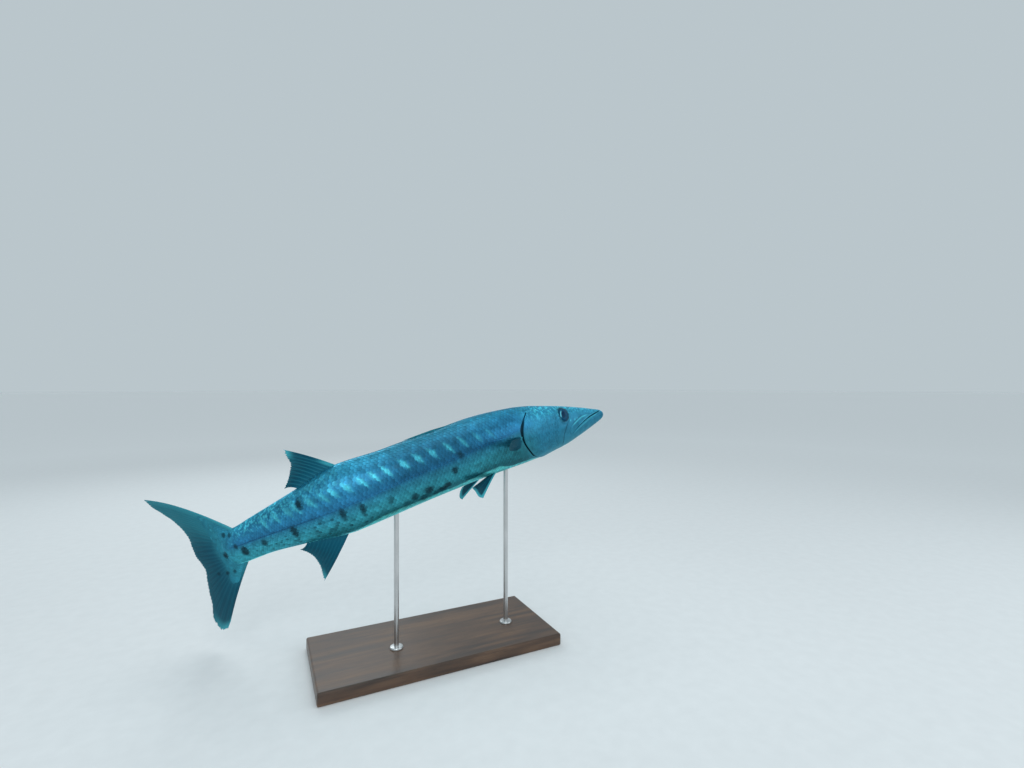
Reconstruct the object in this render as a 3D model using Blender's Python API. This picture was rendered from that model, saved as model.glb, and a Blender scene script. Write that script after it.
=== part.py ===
"""Life-size great barracuda, bent as it swims, held by two rods on a flat base.

Fish space is (share, left, up): share runs from the jaw tip (0) to the root of the
tail fin (1), and all three are shares of the body's length. The spine bends it.
"""

import math

import bmesh
import bpy
import numpy as np
from mathutils import Matrix

# Driving sizes, in metres
BODY_LENGTH = 0.85
GAP = 0.0003
SPINE_CUT = 0.00036

# Where the middle of the trunk lies, heading along +X, and how it is held
MIDDLE = np.array((0.0, -0.012, 0.358))
NOSE_UP = math.radians(16.2)
BANK = math.radians(-0.8)
ARCH = math.radians(23.0)
TURN = ((0.0, 8.0), (0.24, 8.0), (0.42, 1.6), (0.62, 0.0), (0.90, -37.0), (1.15, -52.0))

# Body outline: share, back, belly, half width
STATIONS = (
    (0.00, 0.0010, -0.0060, 0.0040),
    (0.02, 0.0110, -0.0175, 0.0120),
    (0.05, 0.0175, -0.0295, 0.0180),
    (0.10, 0.0280, -0.0474, 0.0265),
    (0.15, 0.0380, -0.0616, 0.0350),
    (0.20, 0.0480, -0.0690, 0.0430),
    (0.25, 0.0575, -0.0738, 0.0500),
    (0.30, 0.0632, -0.0753, 0.0540),
    (0.40, 0.0674, -0.0758, 0.0580),
    (0.50, 0.0638, -0.0767, 0.0600),
    (0.60, 0.0643, -0.0766, 0.0580),
    (0.70, 0.0712, -0.0748, 0.0500),
    (0.80, 0.0522, -0.0575, 0.0360),
    (0.90, 0.0364, -0.0474, 0.0200),
    (0.95, 0.0304, -0.0474, 0.0140),
    (1.00, 0.0318, -0.0495, 0.0085),
)
# How boxy the section is above and below its widest level
UPPER_FULLNESS = ((0.0, 2.2), (0.14, 2.8), (0.24, 2.4), (0.40, 2.15), (1.0, 2.0))
LOWER_FULLNESS = ((0.0, 2.0), (0.14, 1.75), (0.30, 2.1), (1.0, 2.0))
WIDEST_LEVEL = 0.52

# The mouth's line, from the jaw tip back to the jaw joint
MOUTH = ((0.0, 0.0008), (0.011, 0.0060), (0.020, 0.0102), (0.026, 0.0088), (0.036, 0.0068),
         (0.069, -0.0003), (0.095, -0.0092), (0.120, -0.0207), (0.135, -0.0305), (0.160, -0.0400))
JAW_TIP = 0.004
SNOUT_TIP = 0.0245
JAW_JOINT = 0.158
JOINT_STEP = 0.001
LIP_DEPTH = 0.0010
LIP_RISE = 0.0007
LIP_SHARE = 0.045

EYE = (0.166, 0.0195)
EYE_RADIUS = 0.0145
EYE_SUNK = 0.0016
# Radius and height of the eyeball's profile, as shares of its radius
EYE_PROFILE = ((0.0, 0.30), (0.35, 0.26), (0.70, 0.145), (1.0, 0.0),
               (0.96, -0.20), (0.74, -0.45), (0.40, -0.58), (0.0, -0.62))
EYE_SIDES = 20
NOSTRILS = ((0.132, 0.0225, 0.0013), (0.141, 0.0240, 0.0018))
NOSTRIL_DEPTH = 0.0015
NOSTRIL_SIDES = 6
SOCKET_FLARE = 1.08

# Gill cover: turn from the back in degrees, then its front and rear edge
GILL_FRONT = ((38.0, 0.236), (90.0, 0.206), (130.0, 0.190), (160.0, 0.178))
GILL_REAR = ((38.0, 0.274), (60.0, 0.292), (92.0, 0.306), (128.0, 0.284), (160.0, 0.246))
GILL_TURNS = (38.0, 160.0)
GILL_PROUD = 0.0016
GILL_DEPTH = 0.0024
GILL_FRONT_PROUD = 0.25
GILL_ROWS, GILL_COLUMNS = 15, 7
CUT_ABOVE = 0.006
HEAD_END = 0.256

TRUNK_CUTS = (HEAD_END, 0.450, 0.640, 0.820)
STEM_TAPER = 0.957
STEM_ROUND = 0.045
ROUND_POWER = 3.0
RING_POINTS = 36
RING_STEP = 0.022
# Places of the rings on the stem's round end, as parts of its length
ROUND_RINGS = (0.0, 0.35, 0.60, 0.80, 0.92, 0.985)
# Points of a ring of the head: round the flesh, then across the palate or throat
HEAD_POINTS = (27, 14)
JAW_POINTS = (22, 5)
HEAD_STEP = 0.0145
JAW_FRONT = (JAW_TIP, 0.007, 0.012, 0.018, 0.0235)
SNOUT_BLUNT = 0.6
JAW_BLUNT = 0.7

# Fins: ray counts and thicknesses, in metres
MEMBRANE = 0.0006
RAY_HALF_WIDTH = 0.17
FIN_ROWS = (0.0, 0.12, 0.34, 0.58, 0.80, 1.0)
CAUDAL_RAYS = 6
# Lengths of the tail fin across its spread, from -1 at the lower edge to 1 at the upper
CAUDAL_LENGTHS = (("lower", -1.0, -0.32), ("middle", -0.32, 0.34), ("upper", 0.34, 1.0))
CAUDAL_SPLIT = 0.0035
DORSAL_RAYS = 10
ANAL_RAYS = 10
PECTORAL_RAYS = 13
PELVIC_RAYS = 6
FOLDED_SPINES = 5
# Each fin's root on the body, as shares, and its tips as (place across, share, up)
FOLDED_ROOT = (0.445, 0.530)
FOLDED_LEAN = 0.050
FOLDED_HEIGHT = 0.0026
FOLDED_ROWS = (0.0, 0.35, 0.7, 1.0)
DORSAL_ROOT = (0.699, 0.781)
DORSAL_TIPS = ((0.0, 0.776, 0.1385), (0.12, 0.7760, 0.1270), (0.35, 0.7740, 0.1090),
               (0.60, 0.7820, 0.0920), (0.80, 0.7915, 0.0780), (1.0, 0.8050, 0.0640))
ANAL_ROOT = (0.724, 0.808)
ANAL_TIPS = ((0.0, 0.8120, -0.1450), (0.12, 0.8100, -0.1340), (0.35, 0.8060, -0.1120),
             (0.60, 0.8080, -0.0930), (0.80, 0.8160, -0.0770), (1.0, 0.8290, -0.0640))
CAUDAL_ROWS = (0.0, 0.10, 0.28, 0.46, 0.64, 0.82, 1.0)
CAUDAL_TIPS = ((-1.0, 1.0870, -0.1550), (-0.94, 1.1080, -0.1665), (-0.87, 1.1290, -0.1630),
               (-0.78, 1.1370, -0.1400), (-0.66, 1.1170, -0.1060),
               (-0.46, 1.0980, -0.0640), (-0.26, 1.0790, -0.0250), (0.0, 1.0860, 0.0100),
               (0.26, 1.0790, 0.0520), (0.46, 1.0930, 0.0900), (0.68, 1.1200, 0.1240),
               (0.88, 1.1500, 0.1560), (1.0, 1.1600, 0.1745))
# How far the upper lobe's last ray curves upwards
CAUDAL_BOW = 0.0150
# Paired fins: the root's front and rear end as (share, up), tips as (place across, share, left, up)
PECTORAL_ROOT = ((0.3120, -0.002), (0.3200, -0.026))
PECTORAL_TIPS = ((0.0, 0.3720, 0.1230, 0.0110), (0.30, 0.3790, 0.1200, 0.0000),
                 (0.65, 0.3720, 0.1040, -0.0120), (1.0, 0.3400, 0.0760, -0.0235))
PELVIC_ROOT = ((0.3800, -0.0702), (0.3930, -0.0729))
# The right pelvic fin is spread outwards and the left one hangs
PELVIC_TIPS_RIGHT = ((0.0, 0.4430, 0.0700, -0.1000), (0.3, 0.4500, 0.0640, -0.0940),
                     (0.6, 0.4515, 0.0550, -0.0827), (1.0, 0.4510, 0.0400, -0.0785))
PELVIC_TIPS_LEFT = ((0.0, 0.4585, 0.0300, -0.1170), (0.3, 0.4630, 0.0280, -0.1080),
                    (0.6, 0.4600, 0.0250, -0.0970), (1.0, 0.4530, 0.0200, -0.0860))
# Half thickness at the root, and a ray's rise above the membrane
FOLDED_THICK = (0.0014, 0.0008)
MIDDLE_THICK = (0.0018, 0.0007)
CAUDAL_THICK = (0.0026, 0.0006)
PECTORAL_THICK = (0.0016, 0.0005)
PELVIC_THICK = (0.0016, 0.0006)
# Chords across the round end of the tail stem need a little more than one gap
ROOT_MARGIN = 2.8

# Stand
BASE_SIZE = (0.44, 0.20, 0.022)
BASE_BEVEL = 0.003
ROD_RADIUS = 0.0045
ROD_SHARES = (("stand_rod_front", 0.340), ("stand_rod_rear", 0.620))
ROD_SIDES = 16

FLESH = (0.30, 0.42, 0.47)
FIN = (0.16, 0.25, 0.28)
EYE_COLOUR = (0.03, 0.04, 0.05)
WOOD = (0.10, 0.06, 0.04)
STEEL = (0.55, 0.56, 0.58)


def clear_scene():
    for old in list(bpy.data.objects):
        bpy.data.objects.remove(old, do_unlink=True)


def smooth(points, at):
    """Monotone cubic through points, read at one place or at many."""
    x = np.array([point[0] for point in points], float)
    y = np.array([point[1] for point in points], float)
    step = np.diff(x)
    rise = np.diff(y) / step
    slope = np.empty(len(x))
    slope[0] = rise[0]
    slope[-1] = rise[-1]
    for i in range(1, len(x) - 1):
        before, after = rise[i - 1], rise[i]
        if before * after <= 0:
            slope[i] = 0.0
            continue
        a = 2 * step[i] + step[i - 1]
        b = step[i] + 2 * step[i - 1]
        slope[i] = (a + b) / (a / before + b / after)
    at = np.clip(np.asarray(at, float), x[0], x[-1])
    i = np.clip(np.searchsorted(x, at, side="right") - 1, 0, len(x) - 2)
    t = (at - x[i]) / step[i]
    start = y[i] * (1 + 2 * t) * (1 - t) ** 2 + slope[i] * step[i] * t * (1 - t) ** 2
    end = y[i + 1] * t * t * (3 - 2 * t) + slope[i + 1] * step[i] * t * t * (t - 1)
    return start + end


def spine_table():
    """Places and directions along the spine, in body lengths, from its middle."""
    share = np.linspace(-0.02, 1.22, 311)
    heading = np.radians(smooth(TURN, share))
    rise = ARCH * (share - 0.5)
    ahead = np.stack([np.cos(heading) * np.cos(rise), np.sin(heading) * np.cos(rise), np.sin(rise)], 1)
    steps = -(ahead[1:] + ahead[:-1]) / 2 * (share[1] - share[0])
    place = np.concatenate([np.zeros((1, 3)), np.cumsum(steps, axis=0)])
    middle = [np.interp(0.5, share, place[:, k]) for k in range(3)]
    return share, place - middle, heading, rise


SPINE = spine_table()


def hold():
    """The turn that lifts the nose and banks the trunk."""
    c, s = math.cos(NOSE_UP), math.sin(NOSE_UP)
    lift = np.array(((c, 0, -s), (0, 1, 0), (s, 0, c)))
    c, s = math.cos(BANK), math.sin(BANK)
    bank = np.array(((1, 0, 0), (0, c, -s), (0, s, c)))
    return lift @ bank


HOLD = hold()


def frame_at(share):
    """Centre, left and up of the spine in the world, at each share."""
    table, place, heading, rise = SPINE
    centre = np.stack([np.interp(share, table, place[:, k]) for k in range(3)], -1)
    turn = np.interp(share, table, heading)
    climb = np.interp(share, table, rise)
    left = np.stack([-np.sin(turn), np.cos(turn), np.zeros_like(turn)], -1)
    ahead = np.stack([np.cos(turn) * np.cos(climb), np.sin(turn) * np.cos(climb), np.sin(climb)], -1)
    up = np.cross(ahead, left)
    return MIDDLE + BODY_LENGTH * centre @ HOLD.T, left @ HOLD.T, up @ HOLD.T


def world(points):
    """Fish space to metres."""
    points = np.asarray(points, float)
    centre, left, up = frame_at(points[..., 0])
    return centre + BODY_LENGTH * (left * points[..., 1:2] + up * points[..., 2:3])


def station(share):
    """Back, belly, half width, widest level and fullness of the section."""
    back = smooth([(s[0], s[1]) for s in STATIONS], share)
    belly = smooth([(s[0], s[2]) for s in STATIONS], share)
    half = smooth([(s[0], s[3]) for s in STATIONS], share)
    level = belly + (back - belly) * WIDEST_LEVEL
    over = np.clip((np.asarray(share, float) - STEM_TAPER) / STEM_ROUND, 0, 1)
    shrink = (1 - over ** ROUND_POWER) ** (1 / ROUND_POWER)
    back = level + (back - level) * shrink
    belly = level + (belly - level) * shrink
    half = half * (1 - 0.45 * over ** 4)
    return back, belly, half, level, smooth(UPPER_FULLNESS, share), smooth(LOWER_FULLNESS, share)


def skin(share, turn, out=0.0):
    """The body's surface at a turn from the back (radians, to the left), raised by out metres."""
    share, turn = np.broadcast_arrays(np.asarray(share, float), np.asarray(turn, float))
    back, belly, half, level, upper, lower = station(share)
    c, s = np.cos(turn), np.sin(turn)
    power = np.where(c >= 0, upper, lower)
    reach = np.where(c >= 0, back - level, level - belly)
    y = np.sign(s) * np.abs(s) ** (2 / power)
    z = np.sign(c) * np.abs(c) ** (2 / power)
    out_y = np.sign(y) * np.abs(y) ** (power - 1) / half
    out_z = np.sign(z) * np.abs(z) ** (power - 1) / reach
    size = np.hypot(out_y, out_z)
    raised = np.asarray(out, float) / BODY_LENGTH / size
    return np.stack([share, y * half + out_y * raised, level + z * reach + out_z * raised], -1)


def turn_at(share, height):
    """The turn at which the section reaches a height."""
    back, belly, half, level, upper, lower = station(share)
    over = np.clip((height - level) / (back - level), 0, 1) ** (upper / 2)
    under = np.clip((level - height) / (level - belly), 0, 1) ** (lower / 2)
    return np.arccos(np.where(height >= level, over, -under))


def material(name, colour, roughness, metallic):
    made = bpy.data.materials.new(name)
    made.use_nodes = True
    shader = made.node_tree.nodes["Principled BSDF"]
    shader.inputs["Base Color"].default_value = (*colour, 1.0)
    shader.inputs["Roughness"].default_value = roughness
    shader.inputs["Metallic"].default_value = metallic
    made.diffuse_color = (*colour, 1.0)
    return made


def add_object(name, points, faces, colour, roughness=0.35, metallic=0.3):
    mesh = bpy.data.meshes.new(name)
    mesh.from_pydata([tuple(p) for p in np.asarray(points, float)], [], faces)
    mesh.validate()
    form = bmesh.new()
    form.from_mesh(mesh)
    bmesh.ops.recalc_face_normals(form, faces=form.faces)
    form.to_mesh(mesh)
    form.free()
    mesh.shade_smooth()
    mesh.set_sharp_from_angle(angle=math.radians(40))
    made = bpy.data.objects.new(name, mesh)
    bpy.context.scene.collection.objects.link(made)
    mesh.materials.append(material(name + "_finish", colour, roughness, metallic))
    return made


def loft(rings):
    """Points and faces of closed rings joined in a row, with flat ends."""
    count = len(rings[0])
    points = np.concatenate(rings)
    faces = [tuple(range(count))[::-1]]
    for row in range(len(rings) - 1):
        for i in range(count):
            j = (i + 1) % count
            a, b = row * count, (row + 1) * count
            faces.append((a + i, a + j, b + j, b + i))
    last = (len(rings) - 1) * count
    faces.append(tuple(range(last, last + count)))
    return points, faces


def shares_between(start, end, step=RING_STEP):
    return np.linspace(start, end, max(2, int(math.ceil((end - start) / step)) + 1))


def trunk_length(name, start, end):
    turns = np.linspace(0, 2 * math.pi, RING_POINTS, endpoint=False)
    shares = shares_between(start, end)
    if end >= 1.0:
        round_end = STEM_TAPER + STEM_ROUND * np.array(ROUND_RINGS)
        shares = np.concatenate([shares_between(start, STEM_TAPER - 0.01), round_end])
    rings = [world(skin(share, turns)) for share in shares]
    return add_object(name, *loft(rings), FLESH)


def lip(share):
    """How far the two rows of points beside the mouth stand in and out, in metres."""
    scale = min(1.0, float(station(share)[2]) / 0.02)
    return -LIP_DEPTH * scale, LIP_RISE * scale


def spread(count):
    """Places from -1 to 1, with two rows close to each end for the lips."""
    inner = np.linspace(-1 + 2 * LIP_SHARE, 1 - 2 * LIP_SHARE, count - 4)
    return np.concatenate([[-1, -1 + LIP_SHARE], inner, [1 - LIP_SHARE, 1]])


def lipped_arc(share, centre, reach, count, height, lips):
    """An arc of the section about centre, whose two ends lie on the mouth's line."""
    places = spread(count)
    edge, rise = lip(share) if lips else (0.0, 0.0)
    out = np.zeros(count)
    out[[0, -1]] = edge
    out[[1, -2]] = rise
    arc = skin(share, centre + reach * places, out)
    if lips:
        arc[[0, -1], 2] = height
    return arc


def head_rings():
    over, under = HEAD_POINTS
    rings = []
    joint = JAW_JOINT + SPINE_CUT / BODY_LENGTH
    front = [SNOUT_TIP, SNOUT_TIP + 0.003]
    for share in front + list(shares_between(0.034, joint, HEAD_STEP)):
        height = float(smooth(MOUTH, share)) + GAP / 2 / BODY_LENGTH
        reach = float(turn_at(share, height))
        arc = lipped_arc(share, 0.0, reach, over, height, True)
        palate = np.linspace(arc[-1], arc[0], under + 2)[1:-1]
        rings.append(np.concatenate([arc, palate]))
    for share in shares_between(joint + JOINT_STEP, HEAD_END, HEAD_STEP):
        arc = lipped_arc(share, 0.0, reach, over, 0.0, False)
        throat = skin(share, np.linspace(reach, 2 * math.pi - reach, under + 2)[1:-1])
        rings.append(np.concatenate([arc, throat]))
    centre = rings[0].mean(axis=0)
    rings[0] = centre + (rings[0] - centre) * np.array((1.0, SNOUT_BLUNT, SNOUT_BLUNT))
    return [world(ring) for ring in rings]


def jaw_rings():
    arc_points, floor_points = JAW_POINTS
    rings = []
    for share in list(JAW_FRONT) + list(shares_between(0.030, JAW_JOINT, HEAD_STEP)):
        height = float(smooth(MOUTH, share)) - GAP / 2 / BODY_LENGTH
        reach = math.pi - float(turn_at(share, height))
        arc = lipped_arc(share, math.pi, reach, arc_points, height, True)
        floor = np.linspace(arc[-1], arc[0], floor_points + 2)[1:-1]
        rings.append(np.concatenate([arc, floor]))
    centre = rings[0].mean(axis=0)
    rings[0] = centre + (rings[0] - centre) * np.array((1.0, JAW_BLUNT, JAW_BLUNT))
    return [world(ring) for ring in rings]


def sheet(upper, lower):
    """A closed plate between two grids of points, split alike on both faces."""
    rows, columns = upper.shape[:2]
    points = np.concatenate([upper.reshape(-1, 3), lower.reshape(-1, 3)])
    back = rows * columns
    faces = []
    for i in range(rows - 1):
        for j in range(columns - 1):
            a = i * columns + j
            b, c, d = a + 1, a + columns + 1, a + columns
            faces += [(a, b, c), (a, c, d)]
            faces += [(back + c, back + b, back + a), (back + d, back + c, back + a)]
    rim = [j for j in range(columns)]
    rim += [i * columns + columns - 1 for i in range(1, rows)]
    rim += [(rows - 1) * columns + j for j in range(columns - 2, -1, -1)]
    rim += [i * columns for i in range(rows - 2, 0, -1)]
    for a, b in zip(rim, rim[1:] + rim[:1]):
        faces += [(a, back + a, back + b), (a, back + b, b)]
    return points, faces


def gill_plate(side, grow, proud, depth):
    """The gill cover's plate, or with grow the room that it lies in."""
    margin = math.degrees(grow / 0.05)
    turns = np.linspace(GILL_TURNS[0] - margin, GILL_TURNS[1] + margin, GILL_ROWS)
    share_grow = grow / BODY_LENGTH
    upper, lower = [], []
    for turn in turns:
        front = float(smooth(GILL_FRONT, turn)) - share_grow
        rear = float(smooth(GILL_REAR, turn)) + share_grow
        shares = np.linspace(front, rear, GILL_COLUMNS)
        fade = np.linspace(GILL_FRONT_PROUD, 1.0, GILL_COLUMNS)
        angle = side * math.radians(turn)
        upper.append(world(skin(shares, angle, GILL_PROUD * fade + proud)))
        lower.append(world(skin(shares, angle, -depth)))
    return sheet(np.array(upper), np.array(lower))


def side_frame(share, height, side):
    """Place on the flank at a height, with its outward normal, in the world."""
    turn = side * float(turn_at(share, height))
    step = 1e-3
    place = world(skin(share, turn))
    along = world(skin(share + step, turn)) - world(skin(share - step, turn))
    around = world(skin(share, turn + step)) - world(skin(share, turn - step))
    normal = np.cross(around, along)
    normal /= np.linalg.norm(normal)
    if np.dot(normal, world(skin(share, turn, 0.01)) - place) < 0:
        normal = -normal
    return place, normal


def turned(place, axis, profile, sides):
    """A closed shape turned about an axis, from its front pole to its back pole."""
    helper = np.array((0.0, 0.0, 1.0))
    across = np.cross(helper, axis)
    across /= np.linalg.norm(across)
    down = np.cross(axis, across)
    angles = np.linspace(0, 2 * math.pi, sides, endpoint=False)
    points = [place + axis * profile[0][1]]
    for radius, height in profile[1:-1]:
        for angle in angles:
            spoke = across * math.cos(angle) + down * math.sin(angle)
            points.append(place + axis * height + spoke * radius)
    points.append(place + axis * profile[-1][1])
    faces = []
    rings = len(profile) - 2
    last = len(points) - 1
    for i in range(sides):
        j = (i + 1) % sides
        faces.append((0, 1 + i, 1 + j))
        faces.append((last, last - sides + j, last - sides + i))
        for ring in range(rings - 1):
            a = 1 + ring * sides
            faces.append((a + i, a + sides + i, a + sides + j, a + j))
    return points, faces


def eyeball(side):
    place, normal = side_frame(EYE[0], EYE[1], side)
    profile = [(r * EYE_RADIUS, h * EYE_RADIUS) for r, h in EYE_PROFILE]
    return turned(place - normal * EYE_SUNK, normal, profile, EYE_SIDES)


def eye_socket(side):
    """Room for the eye: its own shape, one gap larger, open to the outside."""
    place, normal = side_frame(EYE[0], EYE[1], side)
    wide = EYE_RADIUS + GAP
    profile = [(0.0, wide), (wide * SOCKET_FLARE, wide), (wide, 0.0)]
    profile += [(r * EYE_RADIUS + GAP, h * EYE_RADIUS - GAP) for r, h in EYE_PROFILE[4:-1]]
    profile.append((0.0, EYE_PROFILE[-1][1] * EYE_RADIUS - GAP))
    return turned(place - normal * EYE_SUNK, normal, profile, EYE_SIDES)


def nostril(share, height, radius, side):
    place, normal = side_frame(share, height, side)
    profile = [(0.0, 0.004), (radius * 1.5, 0.004), (radius * 0.8, -NOSTRIL_DEPTH * 0.7),
               (0.0, -NOSTRIL_DEPTH)]
    return turned(place, normal, profile, NOSTRIL_SIDES)


def cut(target, shapes):
    """Cuts closed shapes out of an object and keeps its largest surface."""
    room = bpy.data.collections.new("cutters")
    bpy.context.scene.collection.children.link(room)
    for number, (points, faces) in enumerate(shapes):
        cutter = add_object("cutter_%d" % number, points, faces, STEEL)
        cutter.hide_render = True
        cutter.display_type = "WIRE"
        bpy.context.scene.collection.objects.unlink(cutter)
        room.objects.link(cutter)
    boolean = target.modifiers.new("cut", "BOOLEAN")
    boolean.operation = "DIFFERENCE"
    boolean.operand_type = "COLLECTION"
    boolean.collection = room
    boolean.solver = "EXACT"
    evaluated = target.evaluated_get(bpy.context.evaluated_depsgraph_get())
    carved = bpy.data.meshes.new_from_object(evaluated)
    target.modifiers.clear()
    target.data = carved
    for cutter in list(room.objects):
        bpy.data.objects.remove(cutter, do_unlink=True)
    bpy.data.collections.remove(room)
    keep_largest(target.data)


def keep_largest(mesh):
    form = bmesh.new()
    form.from_mesh(mesh)
    left = set(form.verts)
    islands = []
    while left:
        queue = [left.pop()]
        island = set(queue)
        while queue:
            for edge in queue.pop().link_edges:
                for corner in edge.verts:
                    if corner in left:
                        left.discard(corner)
                        island.add(corner)
                        queue.append(corner)
        islands.append(island)
    largest = max(islands, key=len)
    scraps = [corner for corner in form.verts if corner not in largest]
    bmesh.ops.delete(form, geom=scraps, context="VERTS")
    form.to_mesh(mesh)
    form.free()


def ray_columns(rays):
    """Places across a fin, and how much of a ray's ridge each one carries."""
    pitch = 1.0 / (rays - 1)
    foot = pitch * RAY_HALF_WIDTH
    columns = []
    for ray in range(rays):
        middle = ray * pitch
        if ray > 0:
            columns.append((middle - foot, 0.0))
        columns.append((middle, 1.0))
        if ray < rays - 1:
            columns.append((middle + foot, 0.0))
    return columns


def fin(name, root, tip, ground, rays, root_half, ray_half, rows=FIN_ROWS, bow=None):
    """A fin whose rays are ridges in the surface of its membrane.

    root and tip give places in fish space for a place across the fin (0 to 1),
    ground gives the outward direction of what the fin grows from, in the world,
    and bow how far the ray there curves upwards.
    """
    columns = ray_columns(rays)
    across = np.array([column[0] for column in columns])
    ridge = np.array([column[1] for column in columns])
    starts = np.array([root(a) for a in across])
    ends = np.array([tip(a) for a in across])
    lift = np.zeros_like(starts)
    if bow:
        lift[:, 2] = [4 * bow(a) for a in across]
    middle = np.array([world(starts + (ends - starts) * row + lift * row * (1 - row)) for row in rows])
    run = np.gradient(middle, axis=0)
    over = np.gradient(middle, axis=1)
    normal = np.cross(run, over)
    normal /= np.linalg.norm(normal, axis=-1, keepdims=True)
    half = np.empty(middle.shape[:2])
    for i, row in enumerate(rows):
        web = MEMBRANE / 2 + (root_half - MEMBRANE / 2) * (1 - row) ** 3
        half[i] = web + ridge * ray_half * (1 - 0.75 * row)
    offset = normal * half[..., None]
    for j, a in enumerate(across):
        out = ground(a)
        flat = normal[0, j] - out * np.dot(normal[0, j], out)
        size = np.linalg.norm(flat)
        offset[0, j] = flat / size * half[0, j] * min(1 / size, 1.6)
    return add_object(name, *sheet(middle + offset, middle - offset), FIN, 0.5, 0.0)


def raised_back(share):
    point = skin(share, 0.0, GAP)
    return (float(share), 0.0, float(point[2]))


def raised_belly(share):
    point = skin(share, math.pi, GAP)
    return (float(share), 0.0, float(point[2]))


def up_at(share):
    return frame_at(np.asarray(float(share)))[2]


def outline(tips, across):
    """Share and up of a fin's tip at a place across it."""
    share = smooth([(tip[0], tip[1]) for tip in tips], across)
    up = smooth([(tip[0], tip[2]) for tip in tips], across)
    return float(share), float(up)


def middle_fin(name, ends, tips, rays, raised, way):
    """A fin on the middle line of the back (way 1) or belly (way -1)."""

    def root(a):
        return raised(ends[0] + (ends[1] - ends[0]) * a)

    def tip(a):
        share, up = outline(tips, a)
        return (share, 0.0, up)

    def ground(a):
        return way * up_at(ends[0] + (ends[1] - ends[0]) * a)

    return fin(name, root, tip, ground, rays, *MIDDLE_THICK)


def folded_dorsal():
    """The first back fin, laid down along the back with its spines folded."""

    def root(a):
        return raised_back(FOLDED_ROOT[0] + (FOLDED_ROOT[1] - FOLDED_ROOT[0]) * a)

    def tip(a):
        share = FOLDED_ROOT[0] + (FOLDED_ROOT[1] - FOLDED_ROOT[0]) * a + FOLDED_LEAN * (1 - 0.4 * a)
        return (share, 0.0, float(skin(share, 0.0, FOLDED_HEIGHT * (1 - 0.35 * a))[2]))

    def ground(a):
        return up_at(FOLDED_ROOT[0] + (FOLDED_ROOT[1] - FOLDED_ROOT[0]) * a)

    return fin("dorsal_fin_first", root, tip, ground, FOLDED_SPINES, *FOLDED_THICK, FOLDED_ROWS)


def caudal(part, low, high):
    """One length of the tail fin, between two places of its spread."""
    start = low + (CAUDAL_SPLIT if low > -1 else 0.0)
    stop = high - (CAUDAL_SPLIT if high < 1 else 0.0)

    def root(a):
        angle = (start + (stop - start) * a) * math.pi / 2
        back, belly, _, level, _, _ = station(STEM_TAPER)
        margin = ROOT_MARGIN * GAP / BODY_LENGTH
        power = 2 / ROUND_POWER
        share = STEM_TAPER + (STEM_ROUND + margin) * abs(math.cos(angle)) ** power
        reach = (back - level if angle > 0 else level - belly) + margin
        rise = math.copysign(abs(math.sin(angle)) ** power, angle) * reach
        return (share, 0.0, float(level + rise))

    def tip(a):
        share, up = outline(CAUDAL_TIPS, start + (stop - start) * a)
        return (share, 0.0, up)

    def ground(a):
        near, far = world(np.array(root(a))), world(np.array(tip(a)))
        return (far - near) / np.linalg.norm(far - near)

    def bow(a):
        return CAUDAL_BOW * max(start + (stop - start) * a, 0.0) ** 2

    return fin("caudal_fin_" + part, root, tip, ground, CAUDAL_RAYS, *CAUDAL_THICK, CAUDAL_ROWS, bow)


def paired(name, side, ends, tips, rays, thick):
    """A fin of a pair, on the left (side 1) or right (side -1)."""
    start, stop = ends

    def root_place(a):
        share = start[0] + (stop[0] - start[0]) * a
        height = start[1] + (stop[1] - start[1]) * a
        return share, side * float(turn_at(share, height))

    def root(a):
        share, turn = root_place(a)
        return tuple(skin(share, turn, 1.3 * GAP))

    def tip(a):
        share, left, up = (float(smooth([(p[0], p[k]) for p in tips], a)) for k in (1, 2, 3))
        return (share, side * left, up)

    def ground(a):
        share, turn = root_place(a)
        out = world(skin(share, turn, 0.01)) - world(skin(share, turn))
        return out / np.linalg.norm(out)

    return fin(name, root, tip, ground, rays, *thick)


def paired_fins():
    for word, side, pelvic_tips in (("left", 1, PELVIC_TIPS_LEFT), ("right", -1, PELVIC_TIPS_RIGHT)):
        paired("pectoral_fin_" + word, side, PECTORAL_ROOT, PECTORAL_TIPS, PECTORAL_RAYS, PECTORAL_THICK)
        paired("pelvic_fin_" + word, side, PELVIC_ROOT, pelvic_tips, PELVIC_RAYS, PELVIC_THICK)


def belly_above(x, y, share):
    """Height of the body's underside over a place on the base."""
    guess = np.array((share, math.pi))
    step = 1e-4
    for _ in range(20):
        here = world(skin(guess[0], guess[1]))
        miss = np.array((x, y)) - here[:2]
        ahead = (world(skin(guess[0] + step, guess[1])) - here)[:2] / step
        round_it = (world(skin(guess[0], guess[1] + step)) - here)[:2] / step
        guess = guess + np.linalg.solve(np.stack([ahead, round_it], 1), miss)
    return float(world(skin(guess[0], guess[1]))[2])


def rod(name, share):
    foot = world(skin(share, math.pi))
    angles = np.linspace(0, 2 * math.pi, ROD_SIDES, endpoint=False)
    low, high = [], []
    for angle in angles:
        x = foot[0] + ROD_RADIUS * math.cos(angle)
        y = foot[1] + ROD_RADIUS * math.sin(angle)
        low.append((x, y, BASE_SIZE[2] + GAP))
        high.append((x, y, belly_above(x, y, share) - GAP))
    points = [(foot[0], foot[1], low[0][2])] + low + high
    points.append((foot[0], foot[1], foot[2] - GAP))
    faces = []
    last = len(points) - 1
    for i in range(ROD_SIDES):
        j = (i + 1) % ROD_SIDES
        faces.append((0, 1 + j, 1 + i))
        faces.append((1 + i, 1 + j, 1 + ROD_SIDES + j, 1 + ROD_SIDES + i))
        faces.append((last, 1 + ROD_SIDES + i, 1 + ROD_SIDES + j))
    return add_object(name, points, faces, STEEL, 0.3, 1.0)


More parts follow.
